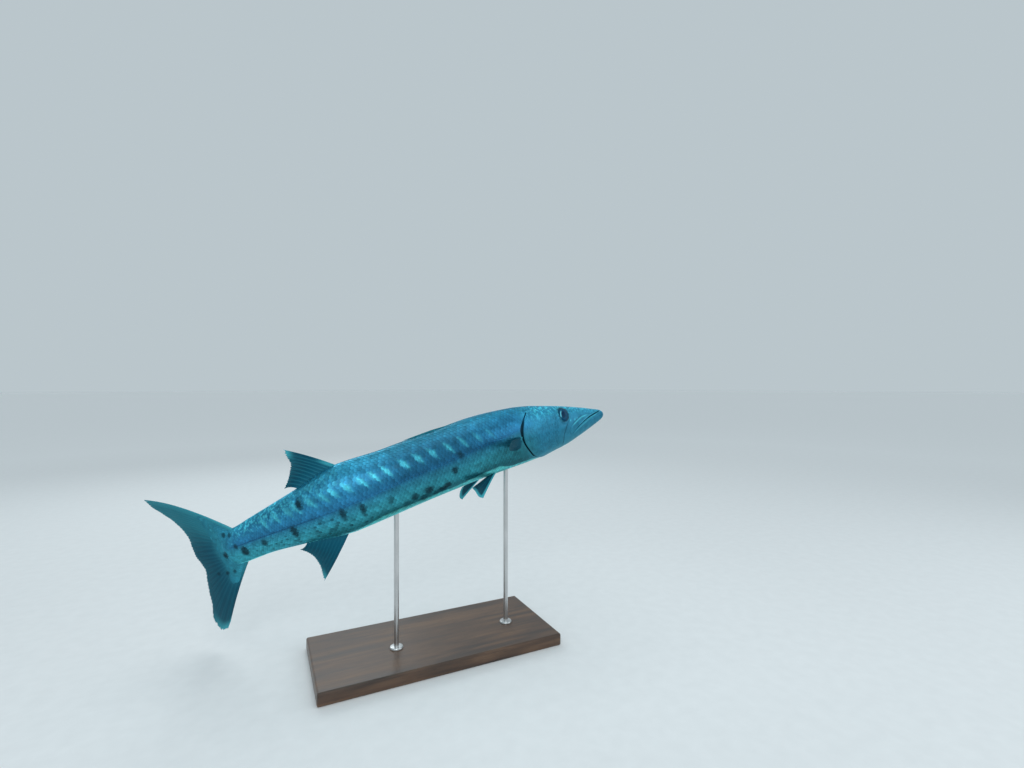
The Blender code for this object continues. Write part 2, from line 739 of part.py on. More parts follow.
def stand():
    bpy.ops.mesh.primitive_cube_add(size=1.0)
    base = bpy.context.object
    base.name = base.data.name = "stand_base"
    grow = Matrix.Diagonal((*BASE_SIZE, 1.0))
    base.data.transform(Matrix.Translation((0, 0, BASE_SIZE[2] / 2)) @ grow)
    edge = base.modifiers.new("edge", "BEVEL")
    edge.width = BASE_BEVEL
    edge.segments = 2
    base.data.materials.append(material("stand_base_finish", WOOD, 0.45, 0.0))
    for name, share in ROD_SHARES:
        rod(name, share)


def head():
    made = add_object("head", *loft(head_rings()), FLESH)
    room = [gill_plate(side, GAP, CUT_ABOVE, GILL_DEPTH + GAP) for side in (1, -1)]
    sockets = [eye_socket(side) for side in (1, -1)]
    pits = [nostril(*place, side) for place in NOSTRILS for side in (1, -1)]
    cut(made, room + sockets + pits)
    add_object("lower_jaw", *loft(jaw_rings()), FLESH)
    for word, side in (("left", 1), ("right", -1)):
        add_object("gill_cover_" + word, *gill_plate(side, 0.0, 0.0, GILL_DEPTH), FLESH)
        add_object("eye_" + word, *eyeball(side), EYE_COLOUR, 0.1, 0.0)


def trunk():
    names = ("trunk_front", "trunk_middle", "trunk_rear", "tail_stem")
    ends = TRUNK_CUTS[1:] + (1.0,)
    for name, start, end in zip(names, TRUNK_CUTS, ends):
        made = trunk_length(name, start + SPINE_CUT / BODY_LENGTH, end)
        if name == "trunk_front":
            cut(made, [gill_plate(side, GAP, CUT_ABOVE, GILL_DEPTH + GAP) for side in (1, -1)])


def main():
    clear_scene()
    head()
    trunk()
    folded_dorsal()
    middle_fin("dorsal_fin_second", DORSAL_ROOT, DORSAL_TIPS, DORSAL_RAYS, raised_back, 1)
    middle_fin("anal_fin", ANAL_ROOT, ANAL_TIPS, ANAL_RAYS, raised_belly, -1)
    for part, low, high in CAUDAL_LENGTHS:
        caudal(part, low, high)
    paired_fins()
    stand()


main()
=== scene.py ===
"""Great barracuda as a museum shows it: one skin, a coat of scales, fins with fine rays, on a rod stand.

Fish space is (share, left, up): share runs from the jaw tip (0) to the root of the tail fin (1),
and all three are shares of the body's length. The spine bends it.
"""

import math
from functools import reduce

import bpy
import numpy as np
from mathutils import Matrix, Vector

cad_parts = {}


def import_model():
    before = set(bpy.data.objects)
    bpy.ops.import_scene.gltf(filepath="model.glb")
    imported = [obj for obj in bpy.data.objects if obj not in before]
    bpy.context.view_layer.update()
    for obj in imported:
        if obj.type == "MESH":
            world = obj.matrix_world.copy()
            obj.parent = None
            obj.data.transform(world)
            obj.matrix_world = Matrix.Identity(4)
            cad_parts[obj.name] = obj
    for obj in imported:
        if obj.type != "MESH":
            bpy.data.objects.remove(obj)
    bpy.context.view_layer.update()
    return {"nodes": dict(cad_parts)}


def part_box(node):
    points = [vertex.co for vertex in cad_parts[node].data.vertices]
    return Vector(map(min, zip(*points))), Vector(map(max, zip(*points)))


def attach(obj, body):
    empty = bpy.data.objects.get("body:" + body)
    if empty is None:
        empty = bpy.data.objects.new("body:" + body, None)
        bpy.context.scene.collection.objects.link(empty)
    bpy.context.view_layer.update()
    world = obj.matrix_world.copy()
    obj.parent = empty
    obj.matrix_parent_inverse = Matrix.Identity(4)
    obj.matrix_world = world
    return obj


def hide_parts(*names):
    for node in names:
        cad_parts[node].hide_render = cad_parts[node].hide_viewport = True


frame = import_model()


def thousandths(*rows):
    """Rows of numbers that are given in thousandths."""
    return tuple(tuple(round(number / 1000, 7) for number in row) for row in rows)


def tint(red, green, blue):
    """A colour, given in thousandths."""
    return (*thousandths((red, green, blue))[0], 1.0)


RIGHT, LEFT = -1, 1
SIDES = (("right", RIGHT), ("left", LEFT))
CHANCE = np.random.default_rng(11)

# The body as its solids have it: its length in metres and in millimetres, its middle and tilt, and the turn
# of its spine in degrees at each share
BODY_LENGTH = 0.85
SPAN = 1000 * BODY_LENGTH
MIDDLE = np.array((0.0, -0.012, 0.358))
NOSE_UP, BANK, ARCH = math.radians(16.2), math.radians(-0.8), math.radians(23)
TURN = ((0, 8), (0.24, 8), (0.42, 1.6), (0.62, 0), (0.9, -37), (1.15, -52))
# Share, back, belly, half width
STATIONS = thousandths(
    (0, 1, -6, 4), (20, 11, -17.5, 12), (50, 17.5, -29.5, 18), (100, 28, -47.4, 26.5), (150, 38, -61.6, 35),
    (200, 48, -69, 43), (250, 57.5, -73.8, 50), (300, 63.2, -75.3, 54), (400, 67.4, -75.8, 58),
    (500, 63.8, -76.7, 60), (600, 64.3, -76.6, 58), (700, 71.2, -74.8, 50), (800, 52.2, -57.5, 36),
    (900, 36.4, -47.4, 20), (950, 30.4, -47.4, 14), (1000, 31.8, -49.5, 8.5))
# How full the section is above and below its widest level, at each share
UPPER_FULLNESS = ((0, 2.2), (0.14, 2.8), (0.24, 2.4), (0.4, 2.15), (1, 2))
LOWER_FULLNESS = ((0, 2), (0.14, 1.75), (0.3, 2.1), (1, 2))
WIDEST_LEVEL = 0.52
# The stem thins from a share on and ends in a rounded edge, and the jaw's tip is round
STEM_TAPER, STEM_ROUND, ROUND_POWER = 0.957, 0.045, 3.0
STEM_THINS, THINNED = 0.93, 0.64
TIP_START, TIP_ROUND = 0.0042, 0.013

# Lines of the head as (share, up), and the share where the skin's detail of the head ends
HEAD_END = 0.36
MOUTH = thousandths(
    (0, 0.8), (11, 6), (20, 10.2), (26, 8.8), (36, 6.8), (69, -0.3), (95, -9.2), (120, -20.7), (135, -30.5),
    (148, -36.5))
HEAD_LINES = {
    "mouth": MOUTH[2:],
    "maxilla": thousandths(
        (48, 8), (72, 8.5), (100, 6.2), (125.3, -2.5), (146.5, -13.5), (153.5, -22.5), (151, -30),
        (143.5, -35.2)),
    "hinge": thousandths((160, -6), (165, -12.5), (174.5, -33), (171.5, -57)),
    "preopercle": thousandths((190, 24), (204, -2), (207, -28), (196, -48), (176, -60)),
    "subopercle": thousandths((296, -21), (260, -33), (215, -44)),
    "cheek": thousandths((190, 10), (230, 6), (280, 8)),
    "lip": thousandths((23, 7), (37.7, 3.2), (79.3, -9), (119.8, -25), (138.4, -33.5)),
}
# Seams of the head's bones: line, where along it they rise and fade, height and width of the middle, then
# height, distance and width of the bank beside it, in millimetres
SEAMS = (("hinge", (0, 0.12, 0.92, 1), -1.0, 0.75, 0.25, 2.0, 1.3),
         ("preopercle", (0, 0.1, 0.9, 1), -0.6, 0.9, 0.32, 2.6, 1.9),
         ("subopercle", (-1, 0, 0.85, 1), -0.3, 0.8, 0.12, 2.0, 1.5),
         ("cheek", (0, 0.2, 0.75, 1), 0.3, 3.0, 0.0, 0.0, 1.0))
# Eye: its place as (share, up), its size in metres, the lean of its pupil, and the points of the fleshy ring
# about it, round it and round its section
EYE = (0.166, 0.0195)
EYE_RADIUS, EYE_SUNK = 0.0145, 0.0016
PUPIL_LEAN = math.radians(20)
RIM_AROUND, RIM_SECTION = 96, 12
# Share, up and radius in millimetres; the painted glints, bright places on the snout's skin that stand in for
# highlights, also have a strength
NOSTRILS = ((0.132, 0.0225, 1.3), (0.141, 0.024, 1.8))
PAINTED_GLINTS = ((0.14, 0.0285, 3.4, 0.9), (0.129, 0.0252, 2.8, 0.75), (0.1474, 0.002, 3.2, 0.75),
          (0.13, 0.001, 3.8, 0.5), (0.12, 0.003, 3, 0.35), (0.1768, 0.037, 2.8, 0.7))
# Gill cover: turn from the back in degrees, then the share of its front and of its free rear edge
GILL_FRONT = ((38, 0.236), (90, 0.206), (130, 0.19), (160, 0.178), (180, 0.17))
GILL_REAR = ((0, 0.268), (38, 0.274), (60, 0.292), (92, 0.306), (128, 0.284), (160, 0.246), (180, 0.222))
# The row of the skin's points that follows that edge, and how far ahead of it and behind it rows bend with it
GILL_ROW, BENT_AHEAD, BENT_BEHIND = 0.29, 0.165, 0.15
# Where the body's scales begin, at each turn from the back
COAT_START = ((0, 0.2), (24, 0.206), (40, 0.279), (60, 0.2965), (92, 0.312), (128, 0.289), (160, 0.251),
              (180, 0.233))
# How deep the skin lies under the coats of scales, in millimetres
COAT_DEPTH, CHEEK_DEPTH = 0.7, 0.2

# Lateral line's height along the body, and where the belly's pale strip begins, as a part of the side
LATERAL = thousandths(
    (200, 24), (280, 18.5), (330, 13.1), (410, 5.8), (510, -1.5), (600, -3.3), (680, -6.5), (830, -5.5),
    (910, -6), (1000, -5))
STRIP = thousandths(
    (0, 900), (235, 900), (254, 885), (293, 848), (328.5, 845), (350, 820), (377, 768), (394, 775),
    (450, 798), (500, 812), (570, 808), (640, 800), (675, 850), (700, 885), (740, 920), (880, 950),
    (1000, 950))
# The same two as levels of the colours
LINE_LEVEL, STRIP_LEVEL = 0.47, 0.9
# The row of scales on the lateral line, and the rows on the whole side and on the cheek
LATERAL_ROW, SIDE_ROWS, CHEEK_ROWS = 12, 28, 46
# One scale: how far each row of its points runs from its root, and its columns from side to side
SCALE_RUN = np.array((0.0, 0.42, 0.78, 1.0))
SCALE_ACROSS = np.array((-1.0, -0.58, 0.0, 0.58, 1.0))
# How many points it has with its underside, and which of them lie in the middle of its root and of its
# third row
SCALE_POINTS, SCALE_ROOT, SCALE_MIDDLE = 30, 2, 12
# The body's scales: where they start and end, and their length where the girth is GIRTH_AT_SIZE
SCALES_FROM, SCALES_TO, SCALE_SIZE, GIRTH_AT_SIZE = 0.196, 0.988, 0.008, 0.208
# The cheek's scales: their rows, where they start and end, and their length
CHEEK_USED, CHEEK_FROM, CHEEK_TO, CHEEK_STEP = range(8, 40), 0.178, 0.31, 0.0043
# The scales on the tail fin's root: their number of rows, where they start and end along its rays, and their
# length
TAIL_SCALE_ROWS, TAIL_SCALE_FROM, TAIL_SCALE_END, TAIL_SCALE_STEP = 24, -0.06, 0.3, 0.03
# Kinds of scales: how far each row of a scale's points stands out and how thick it is, in millimetres, and
# half its width, in rows
SCALE_KINDS = {"scales": ((-0.22, 0.1, 0.36, 0.5), 0.22, 0.6),
               "lateral_line": ((0.2, 0.62, 0.72, 0.56), 0.3, 0.17),
               "cheek_scales": ((-0.16, 0.02, 0.12, 0.17), 0.12, 0.6),
               "tail_root_scales": ((-0.1, 0.1, 0.22, 0.28), 0.2, 0.62 / TAIL_SCALE_ROWS)}
# The shares that the flat map of the coat runs between, its margin, and the size of a scale's patch on it
PATCH_SHARES, PATCH_MARGIN, PATCH_SIZE = (0.14, 1.1), 0.01, 0.003

# Markings as (share, up, half length, half height, strength)
RIGHT_SPOTS = thousandths(
    (463.9, 3.5, 5.5, 8.5, 850), (484, -23.4, 8, 9.5, 950), (505, -50, 10, 7.5, 950),
    (516.6, -54, 11, 7.5, 950), (532, -57, 9, 6, 800), (548.3, -43.7, 11, 10, 950), (560, -56, 11, 8, 750),
    (580.5, -46.1, 10, 9.5, 850), (600, -54, 8, 7, 550), (628.7, -30.6, 8, 10, 500), (648, -50, 7, 8, 400),
    (682.3, -26.9, 5.5, 16, 950), (716.7, -20.8, 5.5, 16, 950), (740, -44, 6, 7, 400),
    (780.3, 28.5, 6, 12, 1000), (807.2, -18.1, 7.5, 16, 950), (877, -19.4, 8, 8.5, 900),
    (932.5, -22, 11, 12, 1000), (950.6, -6.7, 6, 6, 850), (957.7, 19.3, 5.5, 5.5, 800),
    (975.2, 23.9, 6, 6, 850), (995.6, -16.1, 8.5, 8, 1000), (995.6, -56, 6, 5, 800),
    (1017.1, -53.6, 7, 5, 800), (1043.7, -48.1, 6, 4.5, 700))
LEFT_SPOTS = thousandths(
    (448, -12, 6, 8, 800), (493, -38, 9, 9, 950), (521, -51, 11, 8, 950), (556, -48, 10, 10, 900),
    (588, -28, 7, 9, 600), (615, -50, 11, 8.5, 850), (656, -30, 6, 15, 900), (695, -24, 6, 16, 950),
    (736, -33, 6.5, 12, 700), (770, -17, 7, 15, 950), (829, 19, 6, 9, 900), (846, -21, 8, 11, 900),
    (901, -17, 8, 8.5, 900), (942, -24, 10, 11, 1000), (961, 15, 5.5, 6, 850), (983, -9, 7, 7, 850),
    (996, -56, 6, 5, 800), (1024, -30, 7, 6, 800))
# Pale bars as (share, strength), their height along the body, lean and half sizes
PALE_MARKS = thousandths(
    (385, 300), (414, 450), (448.5, 600), (484, 750), (519.5, 900), (551, 950), (582, 1000), (618, 1000),
    (644, 900), (668, 1000), (694, 1000), (718, 900), (737, 950), (761, 1000), (789, 1000), (805, 950),
    (830.5, 1000), (859, 900))
PALE_LEVEL = thousandths((300, 29), (780, 26), (860, 18.5))
PALE_LEAN = math.radians(58)
PALE_HALF = (0.024, 0.0068)

# Colours from back to belly as (part, red, green, blue); near the top they are lightest, a tenth of the way
# down on the body and at 0.15 on the head, partly a painted highlight along the back and the crown
BODY_BANDS = thousandths(
    (0, 30, 235, 345), (100, 28, 255, 395), (240, 22, 184, 322), (400, 21, 172, 322), (470, 17, 138, 276),
    (530, 24, 185, 280), (660, 30, 245, 312), (780, 32, 262, 324), (880, 30, 238, 284),
    (902, 130, 620, 610), (1000, 150, 660, 640))
HEAD_BANDS = thousandths(
    (0, 30, 220, 320), (150, 32, 290, 430), (350, 30, 250, 400), (600, 24, 208, 340), (800, 27, 212, 315),
    (915, 34, 225, 295), (950, 95, 500, 520), (1000, 120, 580, 580))
PALE_COLOUR, DARK_COLOUR = tint(90, 620, 750), tint(5, 33, 50)
WATER_TINT = (0.45, 0.85, 1.0, 1.0)

# Rows of the skin: their distance at each share. The mouth's line is a column of it
ROW_STEPS = thousandths(
    (0, 0.7), (20, 0.8), (30, 1.2), (260, 1.3), (282, 0.7), (289.5, 0.35), (294.5, 0.5), (305, 1.2),
    (350, 4.6), (930, 4.6), (960, 3), (985, 1.2), (1000, 0.7))
MOUTH_COLUMN = 0.5

# Fins: how deep they sink in the flesh as a part of their height, half thicknesses and a ray's height in
# metres, and how far the tail's upper rays curve
FIN_SINK = 0.05
MEMBRANE_HALF = 0.00016
TAIL_ROOT_HALF, TAIL_RAY = 0.0026, 0.0004
TAIL_BOW = 0.015
# How far out from the flesh's surface the roots of the middle and the paired fins lie, in millimetres
MIDDLE_ROOT, PAIRED_ROOT = -0.8, -0.7
# Their outlines as (place across, share, up), and of the paired fins as (place across, share, left, up)
SECOND_DORSAL = thousandths(
    (0, 776, 138.5), (120, 776, 127), (350, 774, 109), (600, 782, 92), (800, 791.5, 78), (1000, 805, 64))
ANAL = thousandths(
    (0, 812, -145), (120, 810, -134), (350, 806, -112), (600, 808, -93), (800, 816, -77), (1000, 829, -64))
TAIL = thousandths(
    (-1000, 1087, -155), (-940, 1108, -166.5), (-870, 1129, -163), (-780, 1137, -140), (-660, 1117, -106),
    (-460, 1098, -64), (-260, 1079, -25), (0, 1086, 10), (260, 1079, 52), (460, 1093, 90), (680, 1120, 124),
    (880, 1150, 156), (1000, 1160, 174.5))
PECTORAL = thousandths((0, 372, 123, 11), (300, 379, 120, 0), (650, 372, 104, -12), (1000, 340, 76, -23.5))
# The right pelvic fin is spread outwards and the left one hangs
PELVIC = {
    RIGHT: thousandths(
        (0, 443, 70, -100), (300, 450, 64, -94), (600, 451.5, 55, -82.7), (1000, 451, 40, -78.5)),
    LEFT: thousandths(
        (0, 458.5, 30, -117), (300, 463, 28, -108), (600, 460, 25, -97), (1000, 453, 20, -86)),
}

# Collars at the rods' feet
COLLAR_RADIUS, COLLAR_HEIGHT = 0.0125, 0.0036
# Camera, floor and lights: name, place, size, power and colour
CAMERA_PLACE = (-0.2997, -0.9448, 0.5004)
CAMERA_TURN = math.radians(-26.15)
CAMERA_LENS = 18.105
FLOOR_RADIUS = 40.0
LAMPS = (("key", (-0.7, -2.0, 1.6), (1.8, 1.2), 16, (0.9, 0.97, 1.0)),
         ("fill", (1.8, -1.3, 1.1), (1.4, 1.4), 7, (0.88, 0.96, 1.0)),
         ("top", (0.1, 0.0, 2.2), (2.2, 1.0), 10, (0.88, 0.97, 1.0)),
         ("rim", (-0.3, 2.0, 1.6), (1.8, 0.9), 9, (0.88, 0.97, 1.0)))
LAMPS_AIM = Vector((0.0, 0.0, 0.33))


def smooth(points, at, column=1):
    """Monotone cubic through a column of points over their first one, read at one place or at many."""
    x, y = (np.array([point[k] for point in points], float) for k in (0, column))
    step = np.diff(x)
    rise = np.diff(y) / step
    slope = np.concatenate([rise[:1], np.zeros(len(x) - 2), rise[-1:]])
    for i in range(1, len(x) - 1):
        before, after = rise[i - 1], rise[i]
        if before * after > 0:
            a, b = 2 * step[i] + step[i - 1], step[i] + 2 * step[i - 1]
            slope[i] = (a + b) / (a / before + b / after)
    at = np.clip(np.asarray(at, float), x[0], x[-1])
    i = np.clip(np.searchsorted(x, at, side="right") - 1, 0, len(x) - 2)
    t = (at - x[i]) / step[i]
    start = y[i] * (1 + 2 * t) * (1 - t) ** 2 + slope[i] * step[i] * t * (1 - t) ** 2
    end = y[i + 1] * t * t * (3 - 2 * t) + slope[i + 1] * step[i] * t * t * (t - 1)
    return start + end


def ease(value, low, high):
    """0 below low, 1 above high and smooth between them."""
    t = np.clip((np.asarray(value, float) - low) / (high - low), 0, 1)
    return t * t * (3 - 2 * t)


def fall(value, low, high):
    """1 below low, 0 above high and smooth between them."""
    return 1 - ease(value, low, high)


def between(value, rise, full, fade, end):
    """0 outside rise and end, 1 from full to fade and smooth between them."""
    return ease(value, rise, full) * fall(value, fade, end)


def ridge(distance, width):
    """1 at no distance, falling off like a bell."""
    return np.exp(-(distance / width) ** 2)


def direction(heading, climb):
    """The way that a heading and a climb point to."""
    return np.stack([np.cos(heading) * np.cos(climb), np.sin(heading) * np.cos(climb), np.sin(climb)], -1)


def spine_table():
    """Places and directions along the spine, in body lengths, from its middle."""
    share = np.linspace(-0.02, 1.22, 311)
    heading, climb = np.radians(smooth(TURN, share)), ARCH * (share - 0.5)
    ahead = direction(heading, climb)
    steps = -(ahead[1:] + ahead[:-1]) / 2 * (share[1] - share[0])
    place = np.concatenate([np.zeros((1, 3)), np.cumsum(steps, axis=0)])
    middle = [np.interp(0.5, share, place[:, k]) for k in range(3)]
    return share, place - middle, heading, climb


def hold():
    """The turn that lifts the nose and banks the trunk."""
    c, s = math.cos(NOSE_UP), math.sin(NOSE_UP)
    lift = np.array(((c, 0, -s), (0, 1, 0), (s, 0, c)))
    c, s = math.cos(BANK), math.sin(BANK)
    return lift @ np.array(((1, 0, 0), (0, c, -s), (0, s, c)))


SPINE, HOLD = spine_table(), hold()


def world(points):
    """Fish space to metres."""
    points = np.asarray(points, float)
    share = points[..., 0]
    table, place, heading, climb = SPINE
    centre = np.stack([np.interp(share, table, place[:, k]) for k in range(3)], -1)
    turn = np.interp(share, table, heading)
    left = np.stack([-np.sin(turn), np.cos(turn), np.zeros_like(turn)], -1)
    up = np.cross(direction(turn, np.interp(share, table, climb)), left)
    centre, left, up = (way @ HOLD.T for way in (BODY_LENGTH * centre, left, up))
    return MIDDLE + centre + BODY_LENGTH * (left * points[..., 1:2] + up * points[..., 2:3])


def station(share):
    """Back, belly, half width, widest level and fullness of the section."""
    share = np.asarray(share, float)
    back, belly, half = (smooth(STATIONS, share, k) for k in (1, 2, 3))
    level = belly + (back - belly) * WIDEST_LEVEL
    over = np.clip((share - STEM_TAPER) / STEM_ROUND, 0, 1)
    tip = np.sqrt(1 - np.clip((TIP_ROUND - share) / (TIP_ROUND - TIP_START), 0, 1) ** 2)
    shrink = (1 - over ** ROUND_POWER) ** (1 / ROUND_POWER) * tip
    thin = np.clip((share - STEM_THINS) / (STEM_TAPER + STEM_ROUND - STEM_THINS), 0, 1)
    half = half * (1 - THINNED * thin ** 2) * tip
    back, belly = level + (back - level) * shrink, level + (belly - level) * shrink
    return back, belly, half, level, smooth(UPPER_FULLNESS, share), smooth(LOWER_FULLNESS, share)


def skin(share, turn, out=0.0):
    """The body's surface at a turn from the back (radians, to the left), raised by out millimetres."""
    share, turn = np.broadcast_arrays(np.asarray(share, float), np.asarray(turn, float))
    back, belly, half, level, upper, lower = station(share)
    c, s = np.cos(turn), np.sin(turn)
    power = np.where(c >= 0, upper, lower)
    reach = np.maximum(np.where(c >= 0, back - level, level - belly), 1e-5)
    half = np.maximum(half, 1e-5)
    y, z = (np.sign(way) * np.abs(way) ** (2 / power) for way in (s, c))
    out_y, out_z = (np.sign(way) * np.abs(way) ** (power - 1) / size for way, size in ((y, half), (z, reach)))
    raised = np.asarray(out, float) / SPAN / np.hypot(out_y, out_z)
    return np.stack([share, y * half + out_y * raised, level + z * reach + out_z * raised], -1)


def turn_at(share, height):
    """The turn at which the section reaches a height."""
    back, belly, _, level, upper, lower = station(share)
    over = np.clip((height - level) / (back - level), 0, 1) ** (upper / 2)
    under = np.clip((level - height) / (level - belly), 0, 1) ** (lower / 2)
    return np.arccos(np.where(height >= level, over, -under))


# The side laid out flat: how far round the section each turn lies, at each share
CHART_ROWS, CHART_TURNS = 401, 241
CHART_LOW, CHART_HIGH = 0.0045, 1.0


def chart_tables():
    """Length from the back to each turn, and the turn at each part of the way, at each share."""
    turns, parts = np.linspace(0, math.pi, CHART_TURNS), np.linspace(0, 1, CHART_TURNS)
    section = skin(np.linspace(CHART_LOW, CHART_HIGH, CHART_ROWS)[:, None], turns[None, :])[..., 1:]
    arcs = np.zeros((CHART_ROWS, CHART_TURNS))
    arcs[:, 1:] = np.cumsum(np.linalg.norm(np.diff(section, axis=1), axis=-1), axis=1)
    return arcs, np.array([np.interp(parts, arc / arc[-1], turns) for arc in arcs])


ARCS, TURN_OF = chart_tables()


def look_up(table, share, column):
    """Reads a table at a share and a fractional column."""
    row = (np.asarray(share, float) - CHART_LOW) / (CHART_HIGH - CHART_LOW) * (CHART_ROWS - 1)
    row, column = np.broadcast_arrays(np.clip(row, 0, CHART_ROWS - 1.001),
                                      np.clip(column, 0, CHART_TURNS - 1.001))
    i, j = row.astype(int), column.astype(int)
    a, b = row - i, column - j
    upper = table[i, j] * (1 - b) + table[i, j + 1] * b
    lower = table[i + 1, j] * (1 - b) + table[i + 1, j + 1] * b
    return upper * (1 - a) + lower * a


def arc_at(share, turn):
    """Length round the section from the back to a turn, in body lengths."""
    return look_up(ARCS, share, np.asarray(turn, float) / math.pi * (CHART_TURNS - 1))


def turn_of(share, part):
    """The turn that lies a part (0 to 1) of the way from the back to the belly."""
    return look_up(TURN_OF, share, np.asarray(part, float) * (CHART_TURNS - 1))


def girth(share):
    """Length from the back to the belly, in body lengths."""
    return look_up(ARCS, share, CHART_TURNS - 1.0)


def part_at(share, height):
    """How far from the back to the belly a height lies, as a part of the way."""
    return arc_at(share, turn_at(share, height)) / girth(share)


def chart_line(points, count=48):
    """A line given as (share, up), laid on the flat side, in millimetres."""
    steps = [(k, *point) for k, point in enumerate(points)]
    share, height = (smooth(steps, np.linspace(0, len(points) - 1, count), k) for k in (1, 2))
    return np.stack([share, arc_at(share, turn_at(share, height))], -1) * SPAN


LINES = {name: chart_line(points) for name, points in HEAD_LINES.items()}


def beside(x, y, name):
    """Distance to a line of the head on the flat side, the side of it (1 below) and the way along it."""
    line = LINES[name]
    nearest, below, way = np.full(x.shape, 1e9), np.zeros(x.shape), np.zeros(x.shape)
    ways = np.diff(line, axis=0)
    sizes = np.linalg.norm(ways, axis=1)
    lengths = np.concatenate([[0], np.cumsum(sizes)])
    for a, d, size, length in zip(line, ways, sizes, lengths):
        t = np.clip(((x - a[0]) * d[0] + (y - a[1]) * d[1]) / (d @ d), 0, 1)
        off_x, off_y = x - a[0] - t * d[0], y - a[1] - t * d[1]
        distance = np.hypot(off_x, off_y)
        near = distance < nearest
        nearest = np.where(near, distance, nearest)
        below = np.where(near, np.sign(d[0] * off_y - d[1] * off_x), below)
        way = np.where(near, (length + t * size) / lengths[-1], way)
    return nearest, below, way


def local_frame(share, height):
    """Place on the left flank in fish space, with the ways outwards, forwards and upwards there."""
    turn, step = float(turn_at(share, height)), 1e-3
    along = skin(share - step, turn) - skin(share + step, turn)
    out = np.cross(along, skin(share, turn - step) - skin(share, turn + step))
    out *= np.sign(out[1]) / np.linalg.norm(out)
    ahead = along - out * np.dot(along, out)
    ahead /= np.linalg.norm(ahead)
    high = np.cross(ahead, out)
    return skin(share, turn), out, ahead, high * np.sign(high[2])


def from_place(share, turn, centre):
    """Distance from the axis that stands on the flank at centre, in millimetres."""
    place, out, _, _ = local_frame(*centre)
    away = skin(share, turn) - place
    away = away - (away @ out)[..., None] * out
    return np.linalg.norm(away, axis=-1) * SPAN


def coated(share, turn):
    """How much of the body's coat of scales lies on the skin, from 0 to 1."""
    start = smooth(COAT_START, np.degrees(turn))
    return ease(share, start, start + 0.018)


def cheek_coated(share, turn):
    """How much of the cheek's small scales lies on the skin, from 0 to 1."""
    rear = smooth(GILL_REAR, np.degrees(turn)) - 0.004
    down = between(turn / math.pi, 0.2, 0.25, 0.74, 0.8)
    return between(share, CHEEK_FROM, 0.196, rear - 0.006, rear) * down


def past_gill(share, turn):
    """Degrees from the back, millimetres past the gill cover's edge, and the width of the slit there."""
    degrees = np.degrees(turn)
    return degrees, (share - smooth(GILL_REAR, degrees)) * SPAN, 0.7 + 4.0 * ridge(degrees - 76, 15)


def mouth_relief(x, y, share):
    """The mouth's groove with its lips, and the fold along the lower jaw."""
    gap, below, way = beside(x, y, "mouth")
    depth = 2.4 * (1 - 0.45 * ease(way, 0.35, 0.65)) * fall(way, 0.86, 1) * ease(share, 0.01, 0.019)
    lips = 0.45 * ridge(gap - 1.9, 1.1) * ease(share, 0.016, 0.03)
    step = np.where(below < 0, -0.25, 0.15) * ridge(gap - 1.0, 1.6)
    out = -depth * ridge(gap, 0.62) + (lips + step) * fall(way, 0.8, 0.95)
    gap, below, way = beside(x, y, "lip")
    fold = 0.4 * ridge(gap, 1.2) - 0.3 * ridge(gap - 2.4, 0.9) * (below > 0)
    return out + between(way, 0, 0.15, 0.85, 1) * fold


def bone_relief(x, y):
    """Grooves and low ridges where the bones of the head meet."""
    gap, below, way = beside(x, y, "maxilla")
    seen = between(way, 0, 0.25, 0.93, 1)
    out = seen * (-0.7 * ridge(gap, 0.75) * (0.35 + 0.65 * ease(way, 0.3, 0.5))
                  + np.where(below > 0, 0.4, 0.12) * ridge(gap - 1.9, 1.4))
    creases = ridge(gap - 5.0, 0.7) + ridge(gap - 8.0, 0.8) + 0.7 * ridge(gap - 11.5, 0.9)
    out -= 0.2 * seen * creases * (below < 0) * fall(way, 0.3, 0.5)
    for name, ends, height, width, bank, distance, spread in SEAMS:
        gap, _, way = beside(x, y, name)
        out += between(way, *ends) * (height * ridge(gap, width) + bank * ridge(gap - distance, spread))
    return out


def socket_relief(share, turn):
    """The eye's bowl with its swollen rim, and the two nostrils in front of it."""
    gap = from_place(share, turn, EYE) - EYE_RADIUS * 1000
    out = -8.0 * fall(gap, -2.6, 0.4) + 0.35 * ridge(gap - 3.0, 2.4) - 0.28 * ridge(gap - 6.5, 1.0)
    for place, height, hole in NOSTRILS:
        gap = from_place(share, turn, (place, height))
        out += -1.6 * np.exp(-(gap / (0.85 * hole)) ** 4) + 0.3 * ridge(gap - 1.6 * hole, 0.6)
    return out


def crown_relief(y, share, half_girth):
    """Bony ridges along the top of the head and the groove under the chin."""
    crown = between(share, 0.035, 0.07, 0.165, 0.205) * 0.35 * (ridge(y - 6.5, 1.6) - ridge(y - 3.0, 1.7))
    brow = between(share, 0.12, 0.145, 0.185, 0.215) * 0.45 * ridge(y - 12.5, 2.4)
    from_belly = half_girth - y
    chin = -0.9 * ridge(from_belly, 1.5) + 0.3 * ridge(from_belly - 4.0, 1.8)
    return crown + brow + between(share, 0.03, 0.05, 0.165, 0.19) * chin


def gill_relief(share, turn):
    """The gill cover's free rear edge, the dark slit behind it and the folds of its membrane."""
    degrees, past, wide = past_gill(share, turn)
    cover = 1.35 * ease(share, smooth(GILL_FRONT, degrees), smooth(GILL_REAR, degrees))
    plate = cover - 0.5 * np.exp(np.minimum(past, 0) / 0.7)
    floor = -3.2 * fall(past, wide, wide + 3.0)
    behind = cover * 0.6 + (floor - cover * 0.6) * ease(past, 0, 0.4)
    out = np.where(past <= 0, plate, behind) * ease(degrees, 33, 43)
    folds = ease(degrees, 138, 150) * ease(share, 0.15, 0.175) * fall(past, -4, -1)
    return out + folds * 0.3 * np.cos(past / 5.2 * 2 * math.pi)


